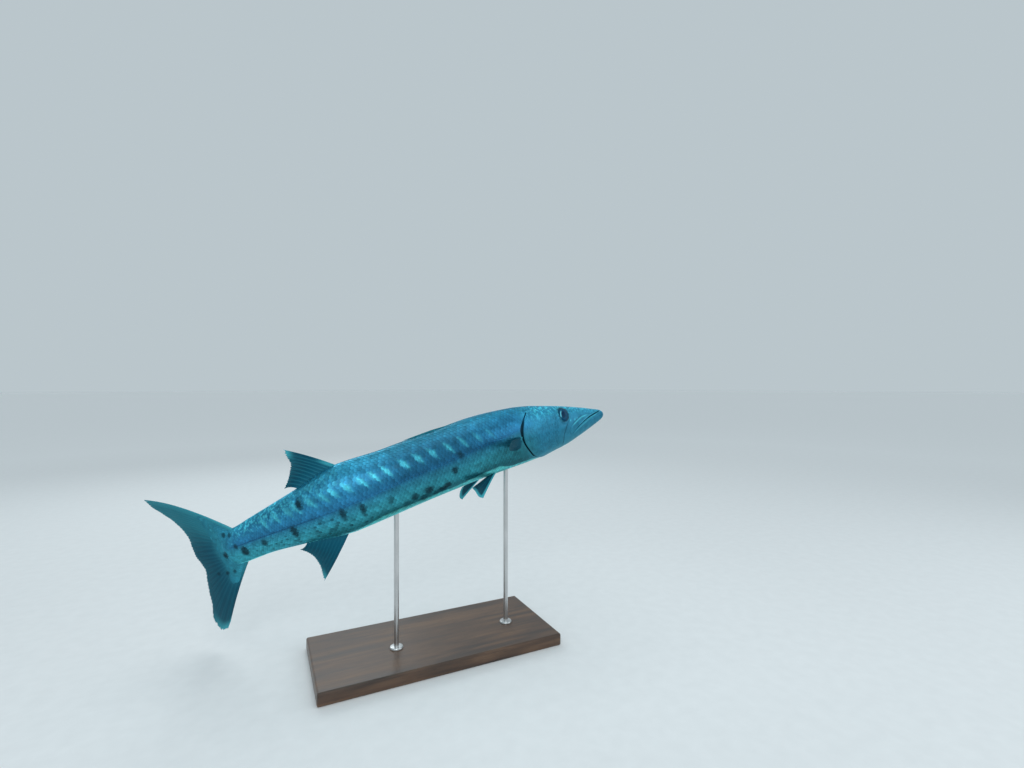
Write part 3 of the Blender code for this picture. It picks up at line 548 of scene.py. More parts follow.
def relief(share, turn):
    """How far the skin stands out from the solids of flesh, in millimetres, alike on both sides."""
    share, turn = np.broadcast_arrays(np.asarray(share, float), np.asarray(turn, float))
    out = -COAT_DEPTH * coated(share, turn) - CHEEK_DEPTH * cheek_coated(share, turn)
    near = share < HEAD_END
    s, t = share[near], turn[near]
    x, y = s * SPAN, arc_at(s, t) * SPAN
    out[near] += (mouth_relief(x, y, s) + bone_relief(x, y) + socket_relief(s, t)
                  + crown_relief(y, s, girth(s) * SPAN) + gill_relief(s, t))
    return out


def marks_at(share, height, side):
    """Dark spots and pale marks at a place of the flank, each from 0 to 1."""
    wobble = 0.16 * np.sin(share * 830 + height * 310) * np.sin(height * 1130 - share * 210)
    dark, pale = np.zeros(np.shape(share)), np.zeros(np.shape(share))
    for place, level, long, tall, strength in RIGHT_SPOTS if side == RIGHT else LEFT_SPOTS:
        away = np.hypot((share - place) / long, (height - level) / tall) + wobble
        dark = np.maximum(dark, strength * fall(away, 0.62, 1.15))
    c, s = math.cos(PALE_LEAN), math.sin(PALE_LEAN)
    shift = 0.0 if side == RIGHT else 0.012
    for place, strength in PALE_MARKS:
        dx, dy = share - place - shift, height - smooth(PALE_LEVEL, place)
        along, across = dx * c + dy * s, dy * c - dx * s
        away = np.abs(along) / PALE_HALF[0] + np.abs(across) / PALE_HALF[1] + 0.9 * wobble
        pale = np.maximum(pale, strength * fall(away, 0.3, 1.05))
        dark = np.maximum(dark, ridge(dx - 0.015, 0.0065) * ease(height, 0.012, 0.03) * 0.22 * strength)
    return dark, pale * (1 - dark)


def painted_head_shade_and_highlights(share, turn):
    """Painted shade in the head's grooves, nostrils and gill slit and round the eye, and painted highlights
    along its lips and folds and as glints on the snout.
    """
    low, high = np.zeros(share.shape), np.zeros(share.shape)
    near = share < HEAD_END
    s, t = share[near], turn[near]
    x, y = s * SPAN, arc_at(s, t) * SPAN
    gap, _, way = beside(x, y, "mouth")
    groove = (0.9 - 0.45 * ease(way, 0.35, 0.65)) * fall(way, 0.88, 1)
    dark = [ridge(gap, 0.9) * groove * ease(s, 0.012, 0.02)]
    pale = [0.45 * ridge(gap - 2.0, 0.8) * fall(way, 0.5, 0.8) * ease(s, 0.016, 0.03)]
    gap, _, way = beside(x, y, "lip")
    pale.append(0.65 * ridge(gap, 0.9) * between(way, 0.05, 0.2, 0.85, 1))
    gap, _, way = beside(x, y, "hinge")
    dark.append(0.75 * ridge(gap, 1.0) * fall(way, 0.9, 1))
    gap, below, way = beside(x, y, "maxilla")
    dark.append(0.35 * ridge(gap, 0.9) * ease(way, 0.25, 0.5))
    pale.append(0.85 * ridge(gap - 2.4, 1.3) * (below > 0) * between(way, 0.15, 0.35, 0.66, 0.8))
    gap = from_place(s, t, EYE) - EYE_RADIUS * 1000
    halo = 0.12 + 0.3 * ease(s, EYE[0] - 0.004, EYE[0] + 0.012)
    dark.append(0.6 * fall(gap, 0.6, 2.6) + halo * fall(gap, 1.5, 9.0))
    # Painted glints on the snout
    for place, height, wide, bright in PAINTED_GLINTS:
        pale.append(bright * fall(from_place(s, t, (place, height)), 0.3 * wide, wide))
    for place, height, hole in NOSTRILS:
        dark.append(0.9 * fall(from_place(s, t, (place, height)), 0.6 * hole, 1.2 * hole))
    degrees, past, wide = past_gill(s, t)
    slit = ease(past, -0.3, 0.3) * fall(past, wide + 1.0, wide + 3.0) * ease(degrees, 35, 44)
    dark.append(slit * (0.55 + 0.43 * ease(degrees, 55, 68)))
    low[near], high[near] = np.max(dark, axis=0), np.max(pale, axis=0)
    return low, high


def start_model():
    """Deselects everything, so that a new primitive is shaped alone."""
    if bpy.context.object and bpy.context.object.mode != "OBJECT":
        bpy.ops.object.mode_set(mode="OBJECT")
    bpy.ops.object.select_all(action="DESELECT")


def outward(piece):
    """Turns a closed piece's faces outwards."""
    start_model()
    bpy.context.view_layer.objects.active = piece
    piece.select_set(True)
    bpy.ops.object.mode_set(mode="EDIT")
    bpy.ops.mesh.select_all(action="SELECT")
    bpy.ops.mesh.normals_make_consistent(inside=False)
    start_model()


def dress(piece, finish, sharp=None):
    """Gives a piece its finish and slot, on the body root, with edges sharper than an angle kept."""
    piece.data.shade_smooth()
    if sharp:
        piece.data.set_sharp_from_angle(angle=math.radians(sharp))
    piece.data.materials.append(finish)
    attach(piece, "root")


def grid_faces(rows, columns, closed=False):
    """Four-sided faces of a grid of points, wrapped round if closed."""
    i = np.arange(rows - 1)[:, None]
    j = np.arange(columns if closed else columns - 1)[None, :]
    k = (j + 1) % columns
    faces = np.stack([i * columns + j, i * columns + k, (i + 1) * columns + k, (i + 1) * columns + j], -1)
    return faces.reshape(-1, 4)


def make_piece(name, points, face_sets, values, finish, sharp=None):
    """A mesh piece from arrays, with its named values at each point."""
    mesh = bpy.data.meshes.new(name)
    mesh.vertices.add(len(points))
    mesh.vertices.foreach_set("co", np.asarray(points, np.float32).ravel())
    corners = np.concatenate([faces.ravel() for faces in face_sets])
    starts = np.cumsum(np.concatenate([[0], *(np.full(len(faces), faces.shape[1]) for faces in face_sets)]))
    mesh.loops.add(len(corners))
    mesh.loops.foreach_set("vertex_index", corners.astype(np.int32))
    mesh.polygons.add(len(starts) - 1)
    mesh.polygons.foreach_set("loop_start", starts[:-1].astype(np.int32))
    mesh.update(calc_edges=True)
    mesh.validate()
    for key, numbers in values.items():
        made = mesh.attributes.new(key, "FLOAT", "POINT")
        made.data.foreach_set("value", numbers.astype(np.float32).ravel())
    piece = bpy.data.objects.new(name, mesh)
    bpy.context.scene.collection.objects.link(piece)
    dress(piece, finish, sharp)
    return piece


def put_in(tree, node, values):
    """Sets or links a node's inputs.

    A value is a number, a colour, another node's output or a tuple that begins with an output. The output's
    range from low to high is then brought to 0 to 1, or to the start and end that follow.
    """
    for key, value in values.items():
        if isinstance(value, tuple) and isinstance(value[0], bpy.types.NodeSocket):
            value = add_node(tree, "MapRange", dict(enumerate(value)))
        if isinstance(value, bpy.types.NodeSocket):
            tree.links.new(value, node.inputs[key])
        else:
            node.inputs[key].default_value = value


def add_node(tree, kind, inputs, output=0, **settings):
    """The output of a new shader node with these inputs and settings."""
    made = tree.nodes.new("ShaderNode" + kind)
    for name, value in settings.items():
        setattr(made, name, value)
    put_in(tree, made, inputs)
    return made.outputs[output]


def work_out(tree, operation, *parts):
    return add_node(tree, "Math", dict(enumerate(parts)), operation=operation)


def times(tree, *parts):
    """The product of two or more parts; one part alone stays as it is."""
    return reduce(lambda a, b: work_out(tree, "MULTIPLY", a, b), parts)


def scaled(tree, value, factor, more):
    """value times factor, plus more."""
    return work_out(tree, "MULTIPLY_ADD", value, factor, more)


def far_from(tree, a, b):
    """The root of the sum of two squares."""
    return work_out(tree, "SQRT", scaled(tree, a, a, times(tree, b, b)))


def blend(tree, factor, a, b, mode="MIX"):
    """Colour a turned towards colour b by factor."""
    return add_node(tree, "Mix", {0: factor, 6: a, 7: b}, 2, data_type="RGBA", blend_type=mode)


def grey(tree, value):
    return add_node(tree, "CombineColor", {0: value, 1: value, 2: value})


def shaded(tree, colour, light):
    """Colour made lighter or darker by a number."""
    return blend(tree, 1.0, colour, grey(tree, light), "MULTIPLY")


def ramp(tree, factor, stops):
    """A colour that runs through stops, given as (place, red, green, blue)."""
    made = add_node(tree, "ValToRGB", {0: factor})
    elements = made.node.color_ramp.elements
    elements.remove(elements[-1])
    elements[0].position = stops[0][0]
    for k, (place, *colour) in enumerate(stops):
        element = elements.new(place) if k else elements[0]
        element.color = (*colour, 1.0)
    return made


def grain(tree, scale, detail=3.0, stretch=(1, 1, 1), rough=0.5):
    """Noise on the piece's own place, from 0 to 1."""
    place = add_node(tree, "Mapping", {"Vector": add_node(tree, "TexCoord", {}, "Object"), "Scale": stretch})
    return add_node(tree, "TexNoise", {"Vector": place, "Scale": scale, "Detail": detail,
                                       "Roughness": rough}, "Fac")


def bumps(tree, height, strength, distance):
    return add_node(tree, "Bump", {"Height": height, "Strength": strength, "Distance": distance})


def new_group(name, inputs, outputs):
    """A node group with float inputs {name: default} and outputs {name: kind}."""
    tree = bpy.data.node_groups.new(name, "ShaderNodeTree")
    for label, value in inputs.items():
        tree.interface.new_socket(label, in_out="INPUT", socket_type="NodeSocketFloat").default_value = value
    for label, kind in outputs.items():
        tree.interface.new_socket(label, in_out="OUTPUT", socket_type="NodeSocket" + kind)
    return tree, tree.nodes.new("NodeGroupInput").outputs, tree.nodes.new("NodeGroupOutput")


def place_group(tree, group, labels):
    """Outputs of a node group that is fed with the piece's own values of these names."""
    values = {label: add_node(tree, "Attribute", {}, "Fac", attribute_name=label.lower()) for label in labels}
    return add_node(tree, "Group", values, node_tree=group).node.outputs


def new_finish(name):
    made = bpy.data.materials.new(name)
    made.use_nodes = True
    return made, made.node_tree, made.node_tree.nodes["Principled BSDF"]


def body_colours():
    """The flank's colours, from its place and marks, for the skin and for every scale."""
    tree, given, put = new_group(
        "barracuda colours", {"Along": 0.5, "Down": 0.5, "Dark": 0.0, "Pale": 0.0, "Edge": 0.75, "Tone": 0.5},
        {"Colour": "Color", "Roughness": "Float", "Height": "Float"})
    along, down, dark, pale, edge, tone = given[:6]
    mottle, fine, speck = grain(tree, 90), grain(tree, 330, 4, rough=0.6), grain(tree, 190, 2)
    place = scaled(tree, grain(tree, 26), 0.036, work_out(tree, "SUBTRACT", down, 0.018))
    on_belly = times(tree, (along, 0.244, 0.256), (down, 0.88, 0.9))
    on_body = work_out(tree, "MAXIMUM", (along, 0.255, 0.315), on_belly)
    off_line = work_out(tree, "ABSOLUTE", work_out(tree, "SUBTRACT", down, 0.478))
    colour = blend(tree, on_body, ramp(tree, place, HEAD_BANDS), ramp(tree, place, BODY_BANDS))
    # Tail stem, root of the tail fin, painted shade in a band above the belly, painted shade low on the
    # throat behind the gill cover, and lateral line on the stem
    for seen, stain in (
            (((along, 0.945, 1.0),), tint(20, 180, 245)),
            (((along, 1.0, 1.026),), tint(7, 94, 145)),
            (((place, 0.74, 0.84), (along, 0.45, 0.56, 1, 0), (place, 0.885, 0.905, 0.58, 0), on_body),
             tint(6, 75, 95)),
            (((place, 0.55, 0.66, 0, 0.5), (place, 0.88, 0.9, 1, 0), (along, 0.33, 0.42, 1, 0), on_body),
             tint(10, 85, 100)),
            (((off_line, 0.004, 0.014, 0.6, 0), (along, 0.66, 0.78), (along, 0.94, 0.97, 1, 0)),
             tint(6, 50, 110))):
        colour = blend(tree, times(tree, *seen), colour, stain)
    # Painted glints: bright specks on the crown and on the back of the stem
    crown = times(tree, (down, 0.24, 0.5, 1, 0), (along, 0.24, 0.3, 1, 0))
    stem = times(tree, (down, 0.16, 0.36, 1, 0), (along, 0.66, 0.84, 0, 0.75), (along, 0.925, 0.965, 1, 0))
    painted_sparkle = times(tree, (speck, 0.48, 0.58, 0, 0.95), work_out(tree, "MAXIMUM", crown, stem))
    colour = blend(tree, painted_sparkle, colour, PALE_COLOUR)
    # How light each part of the side is, as painted light and shade: lighter towards the rear and low on the
    # middle flank, darker over the middle of the back, lighter at the nape, and painted light over the dark
    # wedge that the pectoral fin throws behind the gill
    low = times(tree, (along, 0.36, 0.46, 0, 0.14), (down, 0.5, 0.62))
    painted_saddle_shade = times(tree, (along, 0.4, 0.48, 0, -0.24), (along, 0.57, 0.66, 1, 0))
    high = times(tree, (down, 0.4, 0.5, 1, 0), work_out(tree, "ADD", painted_saddle_shade, (along, 0.33, 0.44, 0.38, 0)))
    behind = times(tree, (along, 0.335, 0.355, 0, 0.4), (along, 0.39, 0.44, 1, 0), (down, 0.47, 0.51),
                   (down, 0.58, 0.68, 1, 0))
    light = reduce(lambda a, b: work_out(tree, "ADD", a, b), ((along, 0.56, 0.7, 1, 1.36), low, high, behind))
    colour = shaded(tree, colour, times(tree, light, (mottle, 0.3, 0.72, 0.8, 1.18)))
    colour = blend(tree, times(tree, pale, (fine, 0.3, 0.6, 0.55, 1)), colour, PALE_COLOUR)
    colour = shaded(tree, colour, times(tree, (tone, 0, 1, 0.82, 1.2), (edge, 0.1, 1, 0.64, 1.12)))
    colour = blend(tree, times(tree, dark, (fine, 0.25, 0.55, 0.75, 1)), colour, DARK_COLOUR)
    put_in(tree, put, {"Colour": colour, "Height": scaled(tree, mottle, 0.5, fine),
                       "Roughness": scaled(tree, dark, 0.16, scaled(tree, fine, 0.22, 0.28))})
    return tree


def body_finish(name, group, bump, coat, labels):
    """Silvery skin or scales in the flank's colours."""
    made, tree, shader = new_finish(name)
    placed = place_group(tree, group, labels)
    put_in(tree, shader, {
        "Base Color": placed["Colour"], "Roughness": placed["Roughness"], "Metallic": 0.82,
        "Specular Tint": WATER_TINT, "Coat Weight": coat, "Coat Roughness": 0.16,
        "Normal": bumps(tree, placed["Height"], bump, 0.0006)})
    return made


def mouth_columns():
    """Where the mouth's line lies between back and belly, along the head, then back to a steady part."""
    shares = (CHART_LOW, 0.012, *(point[0] for point in MOUTH[2:]))
    parts = [min(max(float(part_at(share, smooth(MOUTH, share))), 0.1), 0.85) for share in shares]
    return [*zip(shares, parts), (0.23, 0.5), (1.0, 0.5)]


MOUTH_PART = mouth_columns()


def part_of(share, column):
    """The part of the way from back to belly at which a column of the skin lies."""
    middle = smooth(MOUTH_PART, share)
    pull = middle * (1 - MOUTH_COLUMN) / (MOUTH_COLUMN * (1 - middle))
    return pull * column / (1 + (pull - 1) * column)


def skin_columns(count=104):
    """Columns from 0 at the back to 1 at the belly, close together beside the mouth's line."""
    fine = np.linspace(0, 1, 2001)
    ends = 0.6 * ridge(fine, 0.04) + 0.4 * ridge(1 - fine, 0.04)
    density = 1 + 2.6 * ridge(fine - MOUTH_COLUMN, 0.035) + ends
    total = np.concatenate([[0], np.cumsum((density[1:] + density[:-1]) / 2)])
    columns = np.interp(np.linspace(0, total[-1], count), total, fine)
    columns[np.argmin(np.abs(columns - MOUTH_COLUMN))] = MOUTH_COLUMN
    return columns


def skin_rows():
    """Rows from the jaw tip to the end of the tail stem, close together where the head has detail."""
    ahead, before = [GILL_ROW], [GILL_ROW]
    while ahead[-1] < STEM_TAPER + STEM_ROUND * 0.985:
        ahead.append(ahead[-1] + float(smooth(ROW_STEPS, ahead[-1])))
    while before[-1] > TIP_START + 0.0006:
        before.append(before[-1] - float(smooth(ROW_STEPS, before[-1])))
    return np.array(before[:0:-1] + ahead[:-1] + [STEM_TAPER + STEM_ROUND * 0.99])


def gill_shift(columns):
    """How far each column's gill edge lies from the row that follows it."""
    share = np.full(len(columns), GILL_ROW)
    for _ in range(60):
        turn = turn_of(share, part_of(share, columns))
        share = 0.5 * share + 0.5 * smooth(GILL_REAR, np.degrees(turn))
    return share - GILL_ROW


LATERAL_PART = [(share, float(part_at(share, smooth(LATERAL, share))))
                for share in np.linspace(0.19, 0.985, 30)]


def shade_down(share, part):
    """The way down the side for the colours, with lateral line and belly strip at steady levels."""
    line, strip = smooth(LATERAL_PART, share), smooth(STRIP, share)
    middle = LINE_LEVEL + (STRIP_LEVEL - LINE_LEVEL) * (part - line) / (strip - line)
    below = STRIP_LEVEL + (1 - STRIP_LEVEL) * (part - strip) / (1 - strip)
    return np.where(part < line, LINE_LEVEL * part / line, np.where(part < strip, middle, below))


def body_skin(finish):
    """One closed skin over head, jaw, gill covers and trunk."""
    columns, rows = skin_columns(), skin_rows()
    reach = np.where(rows < GILL_ROW, BENT_AHEAD, BENT_BEHIND)
    window = np.cos(np.clip((rows - GILL_ROW) / reach, -1, 1) * math.pi / 2) ** 2
    share = rows[:, None] + window[:, None] * gill_shift(columns)[None, :]
    part = part_of(share, columns[None, :])
    turn = turn_of(share, part)
    turn[:, 0], turn[:, -1] = 0.0, math.pi
    out = relief(share, turn)
    count = len(columns)
    across = np.concatenate([np.arange(count), np.arange(count - 2, 0, -1)])
    ring = len(across)
    side = np.where(np.arange(ring) < count, RIGHT, LEFT)
    share, turn, out, part = (values[:, across] for values in (share, turn, out, part))
    fish = skin(share, turn * side, out)
    points = world(fish).reshape(-1, 3)
    # The head's painted shade and highlights, joined below with the flank's spots and pale marks
    dark, pale = painted_head_shade_and_highlights(share, turn)
    for _, which in SIDES:
        here = side == which
        spots, bars = marks_at(share[:, here], fish[:, here, 2], which)
        dark[:, here], pale[:, here] = np.maximum(dark[:, here], spots), np.maximum(pale[:, here], bars)
    number, loop = len(points), np.arange(ring)
    after = (loop + 1) % ring
    front = np.stack([loop, np.full(ring, number), after], -1)
    rear = np.stack([number - ring + loop, number - ring + after, np.full(ring, number + 1)], -1)
    points = np.concatenate([points, [points[:ring].mean(0), points[-ring:].mean(0)]])
    values = {"along": share, "down": shade_down(share, part), "dark": dark, "pale": pale}
    values = {key: np.append(value, (value[0, 0], value[-1, -1])) for key, value in values.items()}
    piece = make_piece("body_skin", points, [grid_faces(len(rows), ring, True), front, rear], values, finish)
    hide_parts("head", "lower_jaw", "gill_cover_left", "gill_cover_right", "trunk_front",
                "trunk_middle", "trunk_rear", "tail_stem")
    outward(piece)


def scale_faces():
    """A scale's domed top, thin rim and underside, as faces of its points."""
    j = np.arange(4)[:, None]
    under, root, rear = (j + corners for corners in ((20, 25, 26, 21), (1, 0, 20, 21), (15, 16, 26, 25)))
    sides = np.array([(0, 5, 20), (5, 10, 20), (10, 25, 20), (10, 15, 25),
                      (9, 4, 24), (14, 9, 24), (29, 14, 24), (19, 14, 29)])
    return np.concatenate([grid_faces(4, 5), under, root, rear]), sides


def on_flank(part_for, side):
    """The skin's surface under scales that lie at a share and a row, for one side."""

    def surface(share, row, raised):
        part = part_for(share, row)
        folded = np.where(part < 0, -part, np.where(part > 1, 2 - part, part))
        turn = turn_of(share, folded)
        crossed = np.where(part < 0, -turn, np.where(part > 1, 2 * math.pi - turn, turn))
        return skin(share, crossed * side, relief(share, turn) + raised), folded

    return surface


def flecks(share, part):
    """Chance dark flecks low on the rear flank, and bright scales high on it as painted glints, one number a
    scale each.
    """
    low = between(share, 0.58, 0.72, 0.88, 0.95) * ridge(part - 0.72, 0.1)
    high = ease(share, 0.62, 0.8) * ridge(part - 0.22, 0.14)
    dark = (CHANCE.uniform(0, 1, len(share)) < 0.26 * low) * CHANCE.uniform(0.2, 0.6, len(share))
    pale = (CHANCE.uniform(0, 1, len(share)) < 0.07 * high) * CHANCE.uniform(0.12, 0.34, len(share))
    return dark[:, None], pale[:, None]


def scales(kind, word, side, laid, surface, finish):
    """Scales of one kind as one mesh, laid on a surface. Each stands out as far as it is grown."""
    lift, thick, half = SCALE_KINDS[kind]
    place, row, pitch, grown = laid[:, :, None]
    run, across = np.repeat(SCALE_RUN, 5), np.tile(SCALE_ACROSS, 4)
    s = place + pitch * (-0.6 + run * (1.34 - 0.4 * across ** 2))
    q = row + half * across * (1 - 0.12 * run ** 2)
    tones = CHANCE.uniform(0, 1, len(place))[:, None] - 0.5
    full = 0.3 + 0.7 * grown
    raised = np.interp(run, SCALE_RUN, lift) - 0.1 * across ** 2 * run
    raised = (raised[None, :] + 0.07 * tones * run) * full
    top, down = surface(s, q, raised)
    ends = np.r_[0:5, 15:20]
    under, _ = surface(s[:, ends], q[:, ends], raised[:, ends] - thick)
    points = world(np.concatenate([top, under], axis=1)).reshape(-1, 3)
    number = SCALE_POINTS * np.arange(len(place))[:, None, None]
    faces = [shape[:, ::-1] if side == RIGHT else shape for shape in scale_faces()]
    faces = [(shape[None] + number).reshape(-1, shape.shape[1]) for shape in faces]
    dark, pale = marks_at(top[..., 0], top[..., 2], side)
    # Dark flecks, and bright scales as painted glints
    more_dark, glinting_scales = flecks(top[:, SCALE_MIDDLE, 0], down[:, SCALE_MIDDLE])
    dark = np.maximum(0.6 * dark + 0.4 * dark[:, [SCALE_MIDDLE]], more_dark)
    pale = np.maximum(0.65 * pale + 0.35 * pale[:, [SCALE_MIDDLE]], glinting_scales) * (1 - dark)
    values = {"along": top[..., 0], "down": shade_down(top[..., 0], down), "dark": dark, "pale": pale,
              "edge": 0.75 + (run - 0.75) * grown, "tone": 0.5 + tones * full}
    spread = np.concatenate([np.arange(20), ends])
    values = {key: np.broadcast_to(value, s.shape)[:, spread] for key, value in values.items()}
    piece = make_piece(kind + "_" + word, points, faces, values, finish, sharp=48)
    root_u = (top[:, SCALE_ROOT, 0] - PATCH_SHARES[0]) / (PATCH_SHARES[1] - PATCH_SHARES[0])
    root_v = down[:, SCALE_ROOT] / 2
    root_v = root_v if side == RIGHT else 1 - root_v
    lay_patches(piece.data, root_u[:, None], root_v[:, None], across[spread], run[spread])


def lay_patches(mesh, root_u, root_v, across, run):
    """The map OFBake: each scale a small patch at its root's place on the skin laid flat."""
    root_u, root_v = (PATCH_MARGIN + (1 - 2 * PATCH_MARGIN) * root for root in (root_u, root_v))
    places = np.stack([root_u + PATCH_SIZE * (run - 0.5), root_v + PATCH_SIZE / 2 * across], -1)
    corners = np.empty(len(mesh.loops), np.int32)
    mesh.loops.foreach_get("vertex_index", corners)
    layer = mesh.uv_layers.new(name="OFBake")
    layer.uv.foreach_set("vector", places.reshape(-1, 2)[corners].astype(np.float32).ravel())


def laid_rows(rows, places, step, wander, choose):
    """Scales in rows, each second row half a step on: their places, rows, steps and how far they are grown.

    choose says which places of a row to keep, and how far a scale is grown at each.
    """
    found = []
    for k in rows:
        at = places + step * (0.5 if k % 2 else 0.0)
        at = at + CHANCE.uniform(-wander, wander, len(at)) * step
        keep, grown = choose(at, k)
        found.append(np.stack(np.broadcast_arrays(at, float(k), step, grown))[:, keep])
    return np.concatenate(found, axis=1)


def body_scales(finish):
    """The trunk's scales, one piece a side, with a raised row on the lateral line."""
    places = [SCALES_FROM]
    while places[-1] < SCALES_TO:
        places.append(places[-1] + SCALE_SIZE * (float(girth(places[-1])) / GIRTH_AT_SIZE) ** 0.62)
    places = np.array(places)

    def part_for(share, row):
        line = smooth(LATERAL_PART, share)
        below = line + (1 - line) * (row - LATERAL_ROW) / (SIDE_ROWS - LATERAL_ROW)
        return np.where(row < LATERAL_ROW, line * row / LATERAL_ROW, below)

    def choose(at, k):
        turn = turn_of(at, np.clip(part_for(at, float(k)), 0, 1))
        begin = smooth(COAT_START, np.degrees(turn)) + 0.0035
        return (at > begin) & (at < 0.99), ease(at - begin, 0, 0.03)

    for word, side in SIDES:
        # The rows along the back and the belly come once, with the right side
        rows = range(SIDE_ROWS + 1) if side == RIGHT else range(1, SIDE_ROWS)
        laid = laid_rows(rows, places, np.gradient(places), 0.05, choose)
        flank = on_flank(part_for, side)
        scales("scales", word, side, laid, flank, finish)
        line = laid[:, laid[1] == LATERAL_ROW]
        line[2] *= 0.86
        scales("lateral_line", word, side, line, flank, finish)


def cheek_scales(finish):
    """Small flat scales on cheek and gill cover."""

    def part_for(share, row):
        return row / CHEEK_ROWS + 0 * share

    def choose(at, k):
        cover = cheek_coated(at, turn_of(at, part_for(at, k)))
        return cover > 0.3, cover ** 2

    for word, side in SIDES:
        laid = laid_rows(CHEEK_USED, np.arange(CHEEK_FROM, CHEEK_TO, CHEEK_STEP), CHEEK_STEP, 0.06, choose)
        scales("cheek_scales", word, side, laid, on_flank(part_for, side), finish)


def tail_root_scales(finish):
    """Small scales that run out from the stem over the root of the tail fin."""

    def choose(at, k):
        edge = abs(k / TAIL_SCALE_ROWS - 0.5) * 2
        end = TAIL_SCALE_END * (1 - 0.35 * (1 - edge)) - CHANCE.uniform(0, 0.03, len(at))
        return at < end, fall(at, 0, TAIL_SCALE_END)

    for word, side in SIDES:
        places = np.arange(TAIL_SCALE_FROM, TAIL_SCALE_END, TAIL_SCALE_STEP)
        laid = laid_rows(range(1, TAIL_SCALE_ROWS), places, TAIL_SCALE_STEP, 0.08, choose)
        laid[1] /= TAIL_SCALE_ROWS
        scales("tail_root_scales", word, side, laid, on_tail(side), finish)


def side_frame(share, height, side):
    """Place on the flank at a height, with the ways outwards, forwards and upwards there, in the world."""
    place, *ways = (way * np.array((1.0, side, 1.0)) for way in local_frame(share, height))
    start = world(place)
    ways = [world(place + 1e-4 * way) - start for way in ways]
    return [start] + [way / np.linalg.norm(way) for way in ways]


def eye_finish():
    """Dark oval pupil in a dark teal iris, with a pale crescent at the pupil's rear."""
    made, tree, shader = new_finish("eye_finish")
    place = add_node(tree, "Attribute", {}, "Vector", attribute_name="place")
    ahead, high, _ = add_node(tree, "SeparateXYZ", {0: place}).node.outputs
    c, s = math.cos(PUPIL_LEAN), math.sin(PUPIL_LEAN)
    ahead = work_out(tree, "ADD", ahead, 0.23)
    ahead, high = (scaled(tree, ahead, c, times(tree, high, -s)),
                   scaled(tree, high, c, times(tree, ahead, s)))
    oval = far_from(tree, ahead, times(tree, high, 0.64))
    ring = scaled(tree, grain(tree, 900, 4, rough=0.7), 0.1,
                  work_out(tree, "SUBTRACT", far_from(tree, ahead, high), 0.05))
    iris = ramp(tree, ring, thousandths((0, 2, 46, 100), (420, 2, 50, 110), (660, 2, 52, 116),
                                        (860, 2, 46, 104), (1000, 1, 34, 80)))
    crescent = times(tree, (ahead, -0.34, -0.16, 0.95, 0), (oval, 0.38, 0.43), (oval, 0.54, 0.62, 1, 0),
                     (high, 0.24, 0.52, 1, 0.12), (high, -0.58, -0.36, 0.12, 1))
    iris = blend(tree, crescent, iris, tint(120, 520, 640))
    put_in(tree, shader, {
        "Base Color": blend(tree, (oval, 0.345, 0.375, 1, 0), iris, tint(0.4, 18, 56)),
        "Roughness": (oval, 0.34, 0.38, 0.05, 0.14), "Specular IOR Level": 0.18,
        "Specular Tint": (0.15, 0.7, 1.0, 1.0), "Coat Weight": 0.03, "Coat Roughness": 0.04})
    return made


def shape_part(piece, keep, size):
    """In edit mode, selects the points that keep says and resizes them."""
    bpy.ops.object.mode_set(mode="EDIT")
    bpy.ops.mesh.select_all(action="DESELECT")
    bpy.ops.object.mode_set(mode="OBJECT")
    for corner in piece.data.vertices:
        corner.select = bool(keep(corner.co))
    bpy.ops.object.mode_set(mode="EDIT")
    bpy.ops.transform.resize(value=size, center_override=(0, 0, 0))
    bpy.ops.object.mode_set(mode="OBJECT")


def eyeball(word, side, finish):
    """A flattened ball with a lens that bulges a little, set in the head as its solid is."""
    start_model()
    radius = EYE_RADIUS * 0.985
    bpy.ops.mesh.primitive_uv_sphere_add(segments=64, ring_count=40, radius=radius)
    ball = bpy.context.object
    ball.name = ball.data.name = "eyeball_" + word
    shape_part(ball, lambda at: at.z > -1e-6, (1, 1, 0.31))
    shape_part(ball, lambda at: at.z < -1e-6, (1, 1, 0.6))
    for corner in ball.data.vertices:
        if corner.co.z > 0:
            away = math.hypot(corner.co.x, corner.co.y) / radius
            corner.co.z -= 0.0007 * float(ridge(away - 0.42, 0.16))
    local = np.array([corner.co[:] for corner in ball.data.vertices]) / radius
    made = ball.data.attributes.new("place", "FLOAT_VECTOR", "POINT")
    made.data.foreach_set("vector", local.astype(np.float32).ravel())
    place, normal, ahead, high = side_frame(*EYE, side)
    centre = place - normal * EYE_SUNK
    turned = Matrix([[ahead[k], high[k], normal[k], centre[k]] for k in range(3)] + [[0, 0, 0, 1]])
    ball.data.transform(turned)
    if turned.determinant() < 0:
        ball.data.flip_normals()
    dress(ball, finish)
    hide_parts("eye_" + word)
    start_model()


def eye_rim(word, side, finish):
    """The fleshy ring round the eye, laid on the skin's own shape."""
    around = np.linspace(0, 2 * math.pi, RIM_AROUND, endpoint=False)[:, None]
    section = np.linspace(0, 2 * math.pi, RIM_SECTION, endpoint=False)[None, :]
    centre, _, ahead, high = local_frame(*EYE)
    radius = (EYE_RADIUS * 1000 + 0.9 + 1.5 * np.cos(section) * np.ones(around.shape))[..., None] / SPAN
    spot = centre + radius * (np.cos(around)[..., None] * ahead + np.sin(around)[..., None] * high)
    share, turn = spot[..., 0], turn_at(spot[..., 0], spot[..., 2])
    out = -0.55 + 1.25 * np.sin(section) - 0.8 * np.clip(np.cos(section), 0, 1) ** 2
    out = out + 0.06 * np.sin(around * 23) * (np.sin(section) > 0)
    points = world(skin(share, turn * side, out)).reshape(-1, 3)
    faces = grid_faces(RIM_AROUND + 1, RIM_SECTION, True) % len(points)
    # Dark as painted shade round the eye, less so at the rim's outer edge
    dark = 0.8 - 0.4 * np.clip(np.cos(section) * 1.2, 0, 1) * np.ones(around.shape)
    values = {"along": share, "down": arc_at(share, turn) / girth(share), "dark": dark, "pale": 0 * dark}
    outward(make_piece("eye_rim_" + word, points, [faces], values, finish))


